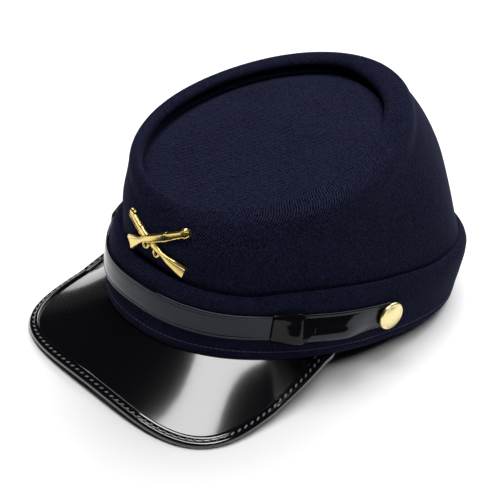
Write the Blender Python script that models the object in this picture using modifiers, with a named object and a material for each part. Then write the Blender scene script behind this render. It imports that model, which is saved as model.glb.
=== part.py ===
"""Kepi cap at rest on a flat surface: cloth crown, top disc and band, leather peak and straps, brass trim.

Blender 4.5, metres, +Z up. The wearer faces -Y and the wearer's left is +X. The pieces are modelled
upright in the cap's own frame, in millimetres, with the band's lower edge in the plane z = 0 and its oval
centred on the axis. One empty then tips them back until the cap rests on its peak and on the back of the
band.
"""

import math

import bmesh
import bpy
from mathutils import Matrix, Vector

MM = 0.001
COLLECTION = "kepi_cap"

# ---- Band: an oval a little narrower at the brow, cloth over stiffening, in millimetres ----
HALF_LENGTH = 104.0
HALF_WIDTH = 81.2
OVAL_TAPER = 0.17
OVAL_SQUARENESS = 2.29
BAND_THICKNESS = 2.6
BAND_SWELL = 0.7
CLEARANCE = 0.3

# Height of the crease where the band's shoulder meets the crown. The wearer's left side has a soft wave.
CREASE_HEIGHTS = (
    # angle from the front in degrees, height
    (-180.0, 36.2),
    (-120.0, 37.0),
    (-60.0, 37.8),
    (0.0, 37.0),
    (29.0, 34.6),
    (45.0, 34.9),
    (57.0, 37.5),
    (68.0, 38.5),
    (80.0, 38.1),
    (106.0, 35.7),
    (125.0, 36.6),
    (180.0, 36.2),
)
CREASE_INSET_BACK = 3.2
CREASE_INSET_FRONT = 5.2

# The band's section, which is fuller round the back of the head. Its lip dips into the crease.
LIP_THICKNESS = 2.4
LIP_DROP = 1.1
LIP_SHARE = 0.55
FULLER_FROM = 95.0
FULLEST_FROM = 135.0
BAND_OUTSIDE = (
    # share of the crease height, growth of the oval, further growth at the back
    (0.0, -0.5, 0.0),
    (0.03, 0.0, 0.1),
    (0.28, 0.5, 0.6),
    (0.60, BAND_SWELL, 1.3),
    (0.80, 0.4, 1.8),
    (0.92, -0.5, 2.0),
    (0.98, -1.7, 1.6),
)
BAND_INSIDE = (
    # share of the crease height, growth of the oval
    (0.80, BAND_SWELL - BAND_THICKNESS),
    (0.40, BAND_SWELL - BAND_THICKNESS),
    (0.03, -BAND_THICKNESS),
    (0.0, 0.3 - BAND_THICKNESS),
)

# ---- Crown: wall and rolled rim. The top is an ellipse tipped towards the peak ----
TOP_TILT = 15.75
TOP_CENTRE_Y = -20.25
TOP_CENTRE_Z = 95.85
TOP_HALF_WIDTH = 60.0
TOP_HALF_LENGTH = 78.2
TOP_TAPER = -0.10
DISC_HALF_WIDTH = 50.3
DISC_HALF_LENGTH = 69.8
DISC_TAPER = -0.06
DISC_FORWARD = 5.9
CLOTH = 2.0
TUCK_DEPTH = 5.5
TUCK_GAP = 0.7
SEAM_GAP = 0.4

# The rim stands up as a roll on the wearer's right and at the back. On the left it lies flat, so that the
# disc runs level into it. These are the angles where it begins to sink, lies flat, begins to rise and stands,
# and those between which its shape where flat goes over from that of the front to that of the side.
FLAT_FROM = -35.0
FLAT_BY = 20.0
RISE_FROM = 112.0
RISE_BY = 146.0
SIDE_FROM = 10.0
SIDE_BY = 60.0

# Behind the wearer's left the roll lies close to the disc. These are the angles, up to a whole turn, where the
# groove between them begins to narrow, is narrow, begins to widen and is wide again.
NARROW_FROM = 108.0
NARROW_BY = 138.0
WIDE_FROM = 168.0
WIDE_BY = 205.0

# The rim's section, in the tipped plane of the crest: first outside the crest, from the wall upwards, then
# from the crest inwards and down round the disc, then back along the cloth's inner face.
RIM_OUTER = (
    # outward, upward, further outward at the back, then where flat: upward, outward at the front and at the side
    (4.3, -8.5, 2.0, -15.0, 9.2, 6.9),
    (3.7, -5.2, 1.6, -11.2, 7.0, 6.3),
    (2.6, -2.3, 0.9, -7.9, 4.3, 5.2),
    (1.2, -0.6, 0.4, -5.7, 1.9, 3.2),
)
RIM_ROLL = (
    # share of the way from the disc's edge to the crest, the same where the groove is narrow, outward,
    # upward, and share, outward and upward where the rim is flat
    (0.91, 0.86, 0.0, 0.0, 0.88, 0.0, -4.35),
    (0.70, 0.58, 0.0, -0.25, 0.55, 0.0, -3.85),
    (0.50, 0.32, 0.0, -1.1, 0.3, 0.0, -3.6),
    (0.41, 0.16, 0.0, -2.7, 0.12, 0.3, -3.55),
    (0.42, 0.12, 0.1, -5.4, 0.03, 0.5, -4.0),
    (0.02, 0.0, 0.5, -7.0, 0.0, 0.5, -5.2),
    (0.0, 0.0, 0.5, -8.4, 0.0, 0.5, -7.6),
    (0.0, 0.0, 2.3, -8.4, 0.0, 2.3, -7.6),
    (0.58, 0.35, 1.4, -7.4, 0.15, 1.7, -5.8),
    (0.62, 0.42, 0.4, -3.2, 0.5, 0.6, -5.9),
    (0.85, 0.85, 0.0, -2.3, 0.85, 0.0, -6.4),
    (1.0, 1.0, 0.6, -4.0, 1.0, 2.6, -8.0),
)

# How far the wall bulges beyond the straight line from the band to the rim, at its fullest height.
WALL_BULGE = (
    # angle from the front, bulge
    (-180.0, 9.0),
    (-135.0, 4.3),
    (-90.0, -1.0),
    (-45.0, 0.8),
    (0.0, 2.0),
    (25.0, 1.8),
    (50.0, 1.2),
    (90.0, -0.8),
    (135.0, 4.3),
    (180.0, 9.0),
)
BULGE_SKEW = 0.7
WALL_SHARES = (0.0, 0.2, 0.4, 0.6, 0.8)
WALL_INSIDE_SHARES = (1.0, 0.66, 0.33, 0.0)

# ---- Top disc: a soft dome, sunk below the crest, with its edge turned down into the rim ----
DISC_THICKNESS = 2.0
DISC_GROWTH = 0.15
DISC_MIDDLE = -3.5
DISC_UPPER = (
    # share of the radius, height from the crest, share where the rim is flat, height where the rim is flat
    (1.0, -7.2, 1.0, -4.2),
    (0.985, -6.5, 0.99, -3.5),
    (0.95, -6.0, 0.96, -3.3),
    (0.7, -5.0, 0.7, -3.3),
    (0.38, -3.9, 0.38, -3.4),
)
DISC_EDGE_ROWS = 2

# ---- Peak: patent leather with a bound edge ----
PEAK_END_ANGLE = 75.0
PEAK_END_GROWTH = -1.8
PEAK_LEVEL_Y = -36.2
PEAK_HALF_WIDTH = 77.2
PEAK_FRONT = 130.3
PEAK_WIDEST = 71.2
PEAK_SQUARENESS = 3.57
PEAK_SLOPE = 0.28
PEAK_DROOP = 5.85
PEAK_DROOP_WIDTH = 70.0
PEAK_DROOP_REACH = 40.0
PEAK_THICKNESS = 1.8
PEAK_TUCK = 1.8
PEAK_END_TUCK = 5.6
PEAK_END_FROM = 0.80
PEAK_END_BY = 0.95
PEAK_EDGE_INSET = 1.1
BINDING_WIDTH = 5.5
BINDING_LEAF = 0.7
BINDING_GAP = 0.36
BINDING_ROUND = 0.5
BINDING_CHAMFER = 0.4
BINDING_FOLD = 0.8
BINDING_LINE_SHARE = 0.85

# ---- Chin strap ----
STRAP_WIDTH = 14.0
STRAP_THICKNESS = 1.3
STRAP_GROWTH = BAND_SWELL + 0.4
STRAP_EDGE = 0.25
STRAP_LINE = (
    # angle from the front, height of the strap's middle
    (0.0, 21.2),
    (20.0, 20.2),
    (36.0, 19.5),
    (52.0, 20.2),
    (64.0, 20.4),
    (76.0, 19.6),
    (100.0, 18.2),
)

# Beside the keepers the strap's lower edge stands off the band. These are how far, and the angles where it
# begins to stand off, does so in full, begins to come back and lies on the band again.
STRAP_LEAN = 3.9
LEAN_FROM = 52.0
LEAN_BY = 60.0
UPRIGHT_FROM = 74.0
UPRIGHT_BY = 84.0

FRONT_STRAP_END = 59.6
SIDE_STRAP_START = 61.4
BUTTON_ANGLE = 88.5

# ---- Keepers: a leather loop over the joint of the straps, ending in a flat point ----
KEEPER_START = 52.2
KEEPER_SHOULDER = 60.6
KEEPER_TIP = 65.0
KEEPER_HALF_HEIGHT = 7.8
KEEPER_TIP_SHARE = 0.12
KEEPER_RAISE = 0.3
KEEPER_LEATHER = 0.8
KEEPER_SECTION = (
    # share of the half height, growth of the oval
    (-1.0, 1.6),
    (-1.0, 2.7),
    (-0.86, 3.5),
    (-0.4, 3.9),
    (0.0, 4.0),
    (0.4, 3.9),
    (0.86, 3.5),
    (1.0, 2.7),
    (1.0, 1.6),
)
KEEPER_TIP_GROWTH = 3.5
KEEPER_LOOP_STEPS = (0.0, 0.3, 0.62, 0.9, 1.0)
KEEPER_FLAT_BY = 0.1
KEEPER_TIP_STEPS = (KEEPER_FLAT_BY, 0.4, 0.7, 1.0)

# ---- Side buttons: turned shells with a raised rim ----
BUTTON_RADIUS = 7.8
BUTTON_STAND = 0.65
BUTTON_PROFILE = (
    # share of the radius, height
    (0.0, 0.0),
    (0.90, 0.0),
    (0.985, 0.5),
    (1.0, 1.1),
    (0.985, 1.7),
    (0.93, 2.05),
    (0.875, 1.95),
    (0.84, 1.75),
    (0.80, 1.95),
    (0.60, 2.55),
    (0.35, 2.95),
    (0.0, 3.1),
)
BUTTON_SIDES = 24

# ---- Badge: two crossed rifles in brass, soldered into one piece and bent to the wall ----
BADGE_X = 0.4
BADGE_Z = 51.3
BADGE_STAND = 0.55
RIFLES = (
    # side its muzzle points to, angle above the level, distance from its butt to the crossing, lift
    (1, 29.0, 17.4, 1.1),
    (-1, 21.0, 24.6, 0.0),
)
RIFLE_THICKNESS = 1.7
RIFLE_BEVEL = 0.55
RIFLE_RIDGE = 0.25
RIFLE_OUTLINE = (
    # distance from the butt, top edge, bottom edge
    (0.0, 2.6, -5.2),
    (1.2, 2.8, -5.1),
    (7.0, 2.3, -3.4),
    (11.5, 1.6, -2.2),
    (14.0, 1.5, -1.5),
    (16.0, 2.1, -1.7),
    (20.0, 2.4, -2.0),
    (24.0, 2.3, -2.1),
    (29.0, 2.2, -2.1),
    (29.8, 2.5, -2.3),
    (31.0, 2.5, -2.3),
    (31.8, 2.1, -2.0),
    (39.3, 1.9, -1.8),
    (39.9, 2.7, -1.9),
    (41.2, 2.6, -2.3),
    (42.0, 2.0, -2.2),
    (43.5, 1.6, -1.5),
)
GUARD_POSITION = 16.6
GUARD_DROP = 2.3
GUARD_RADIUS = 1.8
GUARD_WIRE = 0.7

# The badge finds the wall in steps that turn this many degrees for each millimetre still missing.
WALL_SEARCH_STEPS = 8
WALL_SEARCH_TURN = 0.6

# ---- How the cap rests: tipped back, and flattened a little where cloth and leather meet the surface ----
REST_PITCH = 7.6
REST_SINK = 0.45
ROW_CENTRE_Y = -11.4

COLUMNS = 60
PEAK_COLUMNS = 48
PEAK_ROWS = 5
PEAK_ROW_SPREAD = 1.3
PEAK_FRONT_STEPS = 180
PEAK_END_STEPS = 30
FRONT_STRAP_COLUMNS = 36
SIDE_STRAP_COLUMNS = 12

# Looks: base colour, roughness, metallic.
NAVY_WOOL = ((0.030, 0.032, 0.075), 0.95, 0.0)
PATENT_LEATHER = ((0.008, 0.008, 0.010), 0.12, 0.0)
BRASS = ((0.80, 0.62, 0.28), 0.28, 1.0)


def rest_matrix():
    """From the cap's own frame to where it rests: tipped back about the band's lowest point at the back."""
    pivot = Vector((0, HALF_LENGTH, 0)) * MM
    tip = Matrix.Rotation(math.radians(-REST_PITCH), 4, "X")
    home = Matrix.Translation(Vector((0, -ROW_CENTRE_Y, -REST_SINK)) * MM)
    return home @ Matrix.Translation(pivot) @ tip @ Matrix.Translation(-pivot)


REST = rest_matrix()


# ---- Scene, materials and meshes ----


def clear_scene():
    for old in list(bpy.data.objects):
        bpy.data.objects.remove(old, do_unlink=True)


def new_stand():
    """The empty that tips the whole cap back, in a collection of the cap's own."""
    home = bpy.data.collections.new(COLLECTION)
    bpy.context.scene.collection.children.link(home)
    stand = bpy.data.objects.new("rest_stand", None)
    stand.matrix_world = REST
    home.objects.link(stand)
    return stand


def new_material(name, look):
    colour, roughness, metallic = look
    material = bpy.data.materials.new(name)
    material.use_nodes = True
    shader = material.node_tree.nodes["Principled BSDF"]
    shader.inputs["Base Color"].default_value = (*colour, 1)
    shader.inputs["Roughness"].default_value = roughness
    shader.inputs["Metallic"].default_value = metallic
    material.diffuse_color = (*colour, 1)
    return material


def new_object(name, mesh, look, stand):
    """One piece of the cap with a material of its own, carried by the stand."""
    obj = bpy.data.objects.new(name, mesh)
    bpy.data.collections[COLLECTION].objects.link(obj)
    mesh.materials.append(new_material(f"{name}_finish", look))
    obj.parent = stand
    return obj


def pressed(point):
    """A point in metres. Where the resting cap would sink into the surface, it is pressed flat against it."""
    placed = REST @ (point * MM)
    placed.z = max(placed.z, 0.0)
    return REST.inverted() @ placed


def grid_mesh(rows, wrap_rows, wrap_columns):
    """Quads through rows of points, joined in a ring along either direction where asked."""
    build = bmesh.new()
    grid = [[build.verts.new(pressed(point)) for point in row] for row in rows]
    row_count = len(grid) if wrap_rows else len(grid) - 1
    column_count = len(grid[0]) if wrap_columns else len(grid[0]) - 1
    for i in range(row_count):
        upper = grid[(i + 1) % len(grid)]
        lower = grid[i]
        for j in range(column_count):
            after = (j + 1) % len(lower)
            build.faces.new((lower[j], lower[after], upper[after], upper[j]))
    return build, grid


def finished(build, name, sharp_degrees=40.0):
    """The mesh with its faces outward, shaded smooth between its sharp edges."""
    mesh = bpy.data.meshes.new(name)
    bmesh.ops.recalc_face_normals(build, faces=build.faces)
    build.to_mesh(mesh)
    build.free()
    mesh.shade_smooth()
    mesh.set_sharp_from_angle(angle=math.radians(sharp_degrees))
    return mesh


def ring_solid(name, rows, look, stand):
    """A closed wall: each row is a ring of points, and the last row joins the first."""
    build, _ = grid_mesh(rows, wrap_rows=True, wrap_columns=True)
    return new_object(name, finished(build, name), look, stand)


def swept_solid(name, rows, look, stand):
    """A bar: each row is one line of its section's outline along the bar, with flat ends."""
    build, grid = grid_mesh(rows, wrap_rows=True, wrap_columns=False)
    build.faces.new([row[0] for row in grid])
    build.faces.new([row[-1] for row in grid])
    return new_object(name, finished(build, name), look, stand)


def sheet(name, rows, thickness, look, stand, bevel=0.0):
    """An open middle surface through rows of points, given its thickness with Solidify."""
    build, _ = grid_mesh(rows, wrap_rows=False, wrap_columns=False)
    obj = new_object(name, finished(build, name), look, stand)
    wall = obj.modifiers.new("wall", "SOLIDIFY")
    wall.thickness = thickness * MM
    wall.offset = 0.0
    wall.use_even_offset = True
    if bevel:
        edge = obj.modifiers.new("edge", "BEVEL")
        edge.width = bevel * MM
        edge.segments = 1
        edge.limit_method = "ANGLE"
        edge.angle_limit = math.radians(50)
    return obj


# ---- The cap's curves ----


def smooth_value(rows, at, closed=False):
    """The height of a smooth curve through the rows (position, value), with level or wrapped ends."""
    places = [row[0] for row in rows]
    values = [row[1] for row in rows]
    at = min(max(at, places[0]), places[-1])
    last = len(rows) - 2
    index = max(i for i in range(last + 1) if places[i] <= at)
    width = places[index + 1] - places[index]

    def slope(i):
        if 0 < i < len(rows) - 1:
            return (values[i + 1] - values[i - 1]) / (places[i + 1] - places[i - 1])
        if closed:
            span = (places[1] - places[0]) + (places[-1] - places[-2])
            return (values[1] - values[-2]) / span
        return 0.0

    t = (at - places[index]) / width
    start = (1 + 2 * t) * (1 - t) ** 2 * values[index] + t * (1 - t) ** 2 * width * slope(index)
    end = t * t * (3 - 2 * t) * values[index + 1] + t * t * (t - 1) * width * slope(index + 1)
    return start + end


def ramp(value, start, end):
    """0 before the start and 1 past the end, with a smooth rise between."""
    t = min(max((value - start) / (end - start), 0.0), 1.0)
    return t * t * (3 - 2 * t)


def signed_power(value, power):
    return math.copysign(abs(value) ** power, value)


def around():
    return [-180 + 360 * i / COLUMNS for i in range(COLUMNS)]


def at_back(angle):
    """0 over the front and sides of the cap, 1 round its back."""
    return ramp(abs(angle), FULLER_FROM, FULLEST_FROM)


def flatness(angle):
    """0 where the rim stands up as a roll, 1 where it lies flat."""
    return ramp(angle, FLAT_FROM, FLAT_BY) * (1 - ramp(angle, RISE_FROM, RISE_BY))


def narrowness(angle):
    """0 where the groove round the disc is wide, 1 where the roll lies close to the disc."""
    turn = angle % 360
    return ramp(turn, NARROW_FROM, NARROW_BY) * (1 - ramp(turn, WIDE_FROM, WIDE_BY))


def mixed(first, second, share):
    return first + (second - first) * share


def oval(angle, growth=0.0):
    """A point of the head oval in its plane, by the angle in degrees from the front to the wearer's left."""
    turn = math.radians(angle)
    power = 2 / OVAL_SQUARENESS
    side = signed_power(math.sin(turn), power)
    ahead = signed_power(math.cos(turn), power)
    x = (HALF_WIDTH + growth) * side * (1 - OVAL_TAPER * math.cos(turn))
    return x, -(HALF_LENGTH + growth) * ahead


def on_band(angle, growth, height):
    x, y = oval(angle, growth)
    return Vector((x, y, height))


def crease_height(angle):
    return smooth_value(CREASE_HEIGHTS, angle, closed=True)


def crease_inset(angle):
    ahead = (1 + math.cos(math.radians(angle))) / 2
    inset = CREASE_INSET_BACK + (CREASE_INSET_FRONT - CREASE_INSET_BACK) * ahead
    return inset - BAND_OUTSIDE[-1][2] / 2 * at_back(angle)


def top_point(angle, half_width, half_length, taper, forward, up):
    """A point of an ellipse in the tipped plane of the crown's top."""
    turn = math.radians(angle)
    tilt = math.radians(TOP_TILT)
    x = half_width * math.sin(turn) * (1 - taper * math.cos(turn))
    along = -half_length * math.cos(turn) - forward
    y = TOP_CENTRE_Y + along * math.cos(tilt) - up * math.sin(tilt)
    z = TOP_CENTRE_Z + along * math.sin(tilt) + up * math.cos(tilt)
    return Vector((x, y, z))


def rim_point(angle, share, outward, up):
    """A point of the rim's section, between the disc's edge (share 0) and the crest (share 1)."""
    disc = top_point(
        angle, DISC_HALF_WIDTH + outward, DISC_HALF_LENGTH + outward, DISC_TAPER, DISC_FORWARD, up
    )
    crest = top_point(
        angle, TOP_HALF_WIDTH + outward, TOP_HALF_LENGTH + outward, TOP_TAPER, 0.0, up
    )
    return disc.lerp(crest, share)


def rim_outer_point(angle, row):
    outward, up, at_back_outward, flat_up, front_outward, side_outward = row
    flat = flatness(angle)
    flat_outward = mixed(front_outward, side_outward, ramp(angle, SIDE_FROM, SIDE_BY))
    outward = mixed(outward, flat_outward, flat) + at_back_outward * at_back(angle)
    return rim_point(angle, 1.0, outward, mixed(up, flat_up, flat))


def rim_roll_point(angle, row):
    share, narrow_share, outward, up, flat_share, flat_outward, flat_up = row
    flat = flatness(angle)
    share = mixed(mixed(share, narrow_share, narrowness(angle)), flat_share, flat)
    return rim_point(angle, share, mixed(outward, flat_outward, flat), mixed(up, flat_up, flat))


def wall_point(angle, share, inward=0.0):
    """A point of the crown's wall, from the crease (share 0) to the foot of the rim (share 1)."""
    foot = on_band(angle, -crease_inset(angle) - SEAM_GAP, crease_height(angle))
    head = rim_outer_point(angle, RIM_OUTER[0])
    point = foot.lerp(head, share)
    bulge = smooth_value(WALL_BULGE, angle, closed=True)
    bulge *= 4 * share * (1 - share) * (1 - BULGE_SKEW * (1 - 2 * share))
    away = Vector((point.x, point.y - TOP_CENTRE_Y * share, 0)).normalized()
    return point + away * (bulge - inward)


# ---- Band, crown and top disc ----


def build_band(stand):
    rows = []
    for share, growth, more in BAND_OUTSIDE:
        rows.append(
            [on_band(a, growth + more * at_back(a), share * crease_height(a)) for a in around()]
        )
    shoulder = BAND_OUTSIDE[-1][1]
    rows.append(
        [on_band(a, mixed(-crease_inset(a), shoulder, LIP_SHARE), crease_height(a)) for a in around()]
    )
    for drop in (LIP_DROP, LIP_THICKNESS):
        rows.append([on_band(a, -crease_inset(a), crease_height(a) - drop) for a in around()])
    for share, growth in BAND_INSIDE:
        rows.append([on_band(a, growth, share * crease_height(a)) for a in around()])
    ring_solid("band", rows, NAVY_WOOL, stand)


def tuck_row(inward):
    """The crown's lower edge, tucked down behind the band's lip."""
    return [
        on_band(a, -crease_inset(a) - TUCK_GAP - inward, crease_height(a) - TUCK_DEPTH)
        for a in around()
    ]


def build_crown(stand):
    rows = [tuck_row(0.0)]
    for share in WALL_SHARES:
        rows.append([wall_point(a, share) for a in around()])
    for row in RIM_OUTER:
        rows.append([rim_outer_point(a, row) for a in around()])
    for row in RIM_ROLL:
        rows.append([rim_roll_point(a, row) for a in around()])
    for share in WALL_INSIDE_SHARES:
        rows.append([wall_point(a, share, CLOTH) for a in around()])
    rows.append(tuck_row(CLOTH))
    ring_solid("crown_wall", rows, NAVY_WOOL, stand)


def disc_ring(row, lower=0.0):
    """A ring of the disc, by a row of its table, lowered by this much."""
    share, up, flat_share, flat_up = row
    ring = []
    for angle in around():
        flat = flatness(angle)
        across = mixed(share, flat_share, flat)
        width = (DISC_HALF_WIDTH + DISC_GROWTH) * across
        length = (DISC_HALF_LENGTH + DISC_GROWTH) * across
        height = mixed(up, flat_up, flat) - lower
        ring.append(top_point(angle, width, length, DISC_TAPER, DISC_FORWARD, height))
    return ring


def build_top_disc(stand):
    edge = DISC_UPPER[DISC_EDGE_ROWS]
    rows = [disc_ring((1.0, edge[1], 1.0, edge[3]), DISC_THICKNESS)]
    rows += [disc_ring(row) for row in DISC_UPPER]
    middle = top_point(0, 0, 0, 0, DISC_FORWARD, DISC_MIDDLE)
    under = [disc_ring(row, DISC_THICKNESS) for row in DISC_UPPER[DISC_EDGE_ROWS:]]
    under_middle = top_point(0, 0, 0, 0, DISC_FORWARD, DISC_MIDDLE - DISC_THICKNESS)
    build, grid = grid_mesh(list(reversed(under)) + rows, wrap_rows=False, wrap_columns=True)
    for ring, centre in ((grid[0], under_middle), (grid[-1], middle)):
        cap = build.verts.new(pressed(centre))
        for j, vert in enumerate(ring):
            build.faces.new((vert, ring[(j + 1) % COLUMNS], cap))
    new_object("top_disc", finished(build, "top_disc"), NAVY_WOOL, stand)


# ---- Peak ----


def evenly_spaced(path, count):
    """Points at equal steps along a path of (x, y) points."""
    lengths = [0.0]
    for a, b in zip(path, path[1:]):
        lengths.append(lengths[-1] + math.dist(a, b))
    points = []
    for i in range(count + 1):
        want = lengths[-1] * i / count
        k = min(max(j for j in range(len(lengths)) if lengths[j] <= want + 1e-9), len(path) - 2)
        t = (want - lengths[k]) / (lengths[k + 1] - lengths[k])
        points.append(tuple(path[k][n] + (path[k + 1][n] - path[k][n]) * t for n in (0, 1)))
    return points


def peak_outline():
    """The peak's edge from the wearer's right end to the left one, evenly spaced, as (x, y)."""
    end_x, end_y = oval(PEAK_END_ANGLE, PEAK_END_GROWTH)
    power = 2 / PEAK_SQUARENESS
    half = []
    for i in range(PEAK_FRONT_STEPS + 1):
        turn = math.radians(90 * i / PEAK_FRONT_STEPS)
        x = PEAK_HALF_WIDTH * math.sin(turn) ** power
        y = -PEAK_WIDEST - (PEAK_FRONT - PEAK_WIDEST) * max(math.cos(turn), 0.0) ** power
        half.append((x, y))
    for i in range(1, PEAK_END_STEPS + 1):
        t = i / PEAK_END_STEPS
        x = PEAK_HALF_WIDTH + (end_x - PEAK_HALF_WIDTH) * t**3
        half.append((x, -PEAK_WIDEST + (end_y + PEAK_WIDEST) * t))
    return evenly_spaced([(-x, y) for x, y in reversed(half[1:])] + half, PEAK_COLUMNS)


def peak_height(x, y):
    """Height of the peak's middle surface at its edge: it slopes forward and droops at its sides."""
    reach = max(PEAK_LEVEL_Y - y, 0.0)
    droop = PEAK_DROOP * (x / PEAK_DROOP_WIDTH) ** 2 * min(reach / PEAK_DROOP_REACH, 1.0)
    return -PEAK_SLOPE * reach - droop


def peak_lines():
    """Straight lines of the peak's middle surface, each from its root under the band to its edge.

    Towards its ends the peak lies lower and further in, so that its binding runs under the band.
    """
    lines = []
    for i, (x, y) in enumerate(peak_outline()):
        position = 2 * i / PEAK_COLUMNS - 1
        ending = ramp(abs(position), PEAK_END_FROM, PEAK_END_BY)
        drop = CLEARANCE + PEAK_THICKNESS / 2 + (BINDING_GAP + BINDING_LEAF) * ending
        tuck = PEAK_TUCK + (PEAK_END_TUCK - PEAK_TUCK) * ending
        root = on_band(PEAK_END_ANGLE * position, -tuck, -drop)
        lines.append((root, Vector((x, y, min(peak_height(x, y), -drop * ending)))))
    return lines


def inset_share(lines, index, inset):
    """The share of a line, from edge to root, at which it lies this many millimetres in from the edge."""
    root, edge = lines[index]
    along = lines[min(index + 1, len(lines) - 1)][1] - lines[max(index - 1, 0)][1]
    ruling = root - edge
    room = ruling.length * math.sqrt(1 - ruling.normalized().dot(along.normalized()) ** 2)
    return min(1.0, BINDING_LINE_SHARE * room / BINDING_WIDTH) * inset / room


def peak_point(lines, index, share_at, lift):
    """A point of the peak's section at a share of its line, lifted square to the middle surface."""

    def middle(i):
        root, edge = lines[i]
        return edge.lerp(root, share_at(i))

    before = middle(max(index - 1, 0))
    after = middle(min(index + 1, len(lines) - 1))
    normal = (lines[index][0] - lines[index][1]).cross(after - before).normalized()
    if normal.z < 0:
        normal.negate()
    return middle(index) + normal * lift


def build_peak(stand):
    lines = peak_lines()
    half = PEAK_THICKNESS / 2
    shares = [(k / PEAK_ROWS) ** PEAK_ROW_SPREAD for k in range(PEAK_ROWS + 1)]
    section = [(share, half) for share in shares]
    section += [(share, -half) for share in reversed(shares)]
    rows = []
    for share, lift in section:

        def share_at(index, share=share):
            start = inset_share(lines, index, PEAK_EDGE_INSET)
            return start + (1 - start) * share

        rows.append([peak_point(lines, i, share_at, lift) for i in range(len(lines))])
    swept_solid("peak", rows, PATENT_LEATHER, stand)


def build_peak_binding(stand):
    """A folded strip along the peak's edge: its section is a C around the leather."""
    half = PEAK_THICKNESS / 2 + BINDING_GAP
    outer = half + BINDING_LEAF
    shoulder = outer - 0.3 * BINDING_LEAF
    section = (
        # inward from the edge, upward
        (BINDING_WIDTH, half),
        (BINDING_WIDTH, shoulder),
        (BINDING_WIDTH - BINDING_CHAMFER, outer),
        (BINDING_ROUND, outer),
        (-0.5 * BINDING_FOLD, half),
        (-BINDING_FOLD, 0.0),
        (-0.5 * BINDING_FOLD, -half),
        (BINDING_ROUND, -outer),
        (BINDING_WIDTH - BINDING_CHAMFER, -outer),
        (BINDING_WIDTH, -shoulder),
        (BINDING_WIDTH, -half),
        (BINDING_ROUND, -half),
        (BINDING_ROUND, half),
    )
    lines = peak_lines()
    rows = []
    for inset, lift in section:

        def share_at(index, inset=inset):
            return inset_share(lines, index, inset)

        rows.append([peak_point(lines, i, share_at, lift) for i in range(len(lines))])
    swept_solid("peak_binding", rows, PATENT_LEATHER, stand)


# ---- Chin strap, keepers and buttons ----


def strap_height(angle):
    return smooth_value(STRAP_LINE, abs(angle))


def strap_lean(angle, across):
    """How far the strap stands off the band, by how far across it the place lies, from -1 to 1."""
    angle = abs(angle)
    share = ramp(angle, LEAN_FROM, LEAN_BY) * (1 - ramp(angle, UPRIGHT_FROM, UPRIGHT_BY))
    return STRAP_LEAN * share * (1 - across) / 2


def build_strap(name, start, end, columns, stand):
    """One length of the strap, lying on the band from one angle to another."""
    angles = [start + (end - start) * i / columns for i in range(columns + 1)]
    growth = STRAP_GROWTH + STRAP_THICKNESS / 2
    rows = []
    for across in (-1, 1):
        rows.append([])
        for angle in angles:
            height = strap_height(angle) + across * STRAP_WIDTH / 2
            rows[-1].append(on_band(angle, growth + strap_lean(angle, across), height))
    sheet(name, rows, STRAP_THICKNESS, PATENT_LEATHER, stand, bevel=STRAP_EDGE)


def keeper_point(angle, share, growth):
    """A point of the keeper's middle surface. Past its shoulder the keeper narrows to a flat point."""
    beyond = min(max((abs(angle) - KEEPER_SHOULDER) / (KEEPER_TIP - KEEPER_SHOULDER), 0.0), 1.0)
    flat = min(beyond / KEEPER_FLAT_BY, 1.0)
    reach = KEEPER_HALF_HEIGHT * (1 - (1 - KEEPER_TIP_SHARE) * beyond)
    height = KEEPER_RAISE + reach * share
    growth += (KEEPER_TIP_GROWTH - growth) * flat + strap_lean(angle, 2 * height / STRAP_WIDTH)
    return on_band(angle, growth, strap_height(angle) + height)


def build_keeper(name, sign, stand):
    loop = [KEEPER_START + (KEEPER_SHOULDER - KEEPER_START) * step for step in KEEPER_LOOP_STEPS]
    tip = [KEEPER_SHOULDER + (KEEPER_TIP - KEEPER_SHOULDER) * step for step in KEEPER_TIP_STEPS]
    rows = []
    for share, growth in KEEPER_SECTION:
        rows.append([keeper_point(angle * sign, share, growth) for angle in loop + tip])
    sheet(name, rows, KEEPER_LEATHER, PATENT_LEATHER, stand)


def build_button(name, sign, stand):
    """A turned shell standing on the strap's end, facing straight out from the band."""
    profile = bpy.data.meshes.new(name)
    points = [(BUTTON_RADIUS * share * MM, 0, height * MM) for share, height in BUTTON_PROFILE]
    profile.from_pydata(points, [(i, i + 1) for i in range(len(points) - 1)], [])
    obj = new_object(name, profile, BRASS, stand)
    turn = obj.modifiers.new("turn", "SCREW")
    turn.steps = BUTTON_SIDES
    turn.render_steps = BUTTON_SIDES
    turn.use_merge_vertices = True
    turn.merge_threshold = 1e-5
    turn.use_smooth_shade = True
    turn.use_normal_flip = True
    angle = BUTTON_ANGLE * sign
    seat = on_band(angle, STRAP_GROWTH + STRAP_THICKNESS + BUTTON_STAND, strap_height(angle))
    along = on_band(angle + 1, 0, 0) - on_band(angle - 1, 0, 0)
    outward = Vector((-along.y, along.x, 0)).normalized()
    if outward.x * sign < 0:
        outward.negate()
    obj.location = seat * MM
    obj.rotation_euler = outward.to_track_quat("Z", "Y").to_euler()


# ---- Badge ----


def rifle_section(distance, top, bottom, lift):
    """Corners of the rifle's section: a low bar with bevelled front edges and a slight ridge."""
    bevel = min(RIFLE_BEVEL, (top - bottom) * 0.25)
    face = lift + RIFLE_THICKNESS
    return [
        (distance, bottom, lift),
        (distance, bottom, face - bevel),
        (distance, bottom + bevel, face),
        (distance, (top + bottom) / 2, face + RIFLE_RIDGE),
        (distance, top - bevel, face),
        (distance, top, face - bevel),
        (distance, top, lift),
    ]


def on_badge(along, across, depth, rifle):
    """A place along and across a rifle and out from the wall, from the point where the rifles cross."""
    mirror, angle, crossing, _ = rifle
    turn = math.radians(angle)
    u = along - crossing
    x = u * math.cos(turn) - across * math.sin(turn)
    return x * mirror, -depth, u * math.sin(turn) + across * math.cos(turn)


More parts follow.
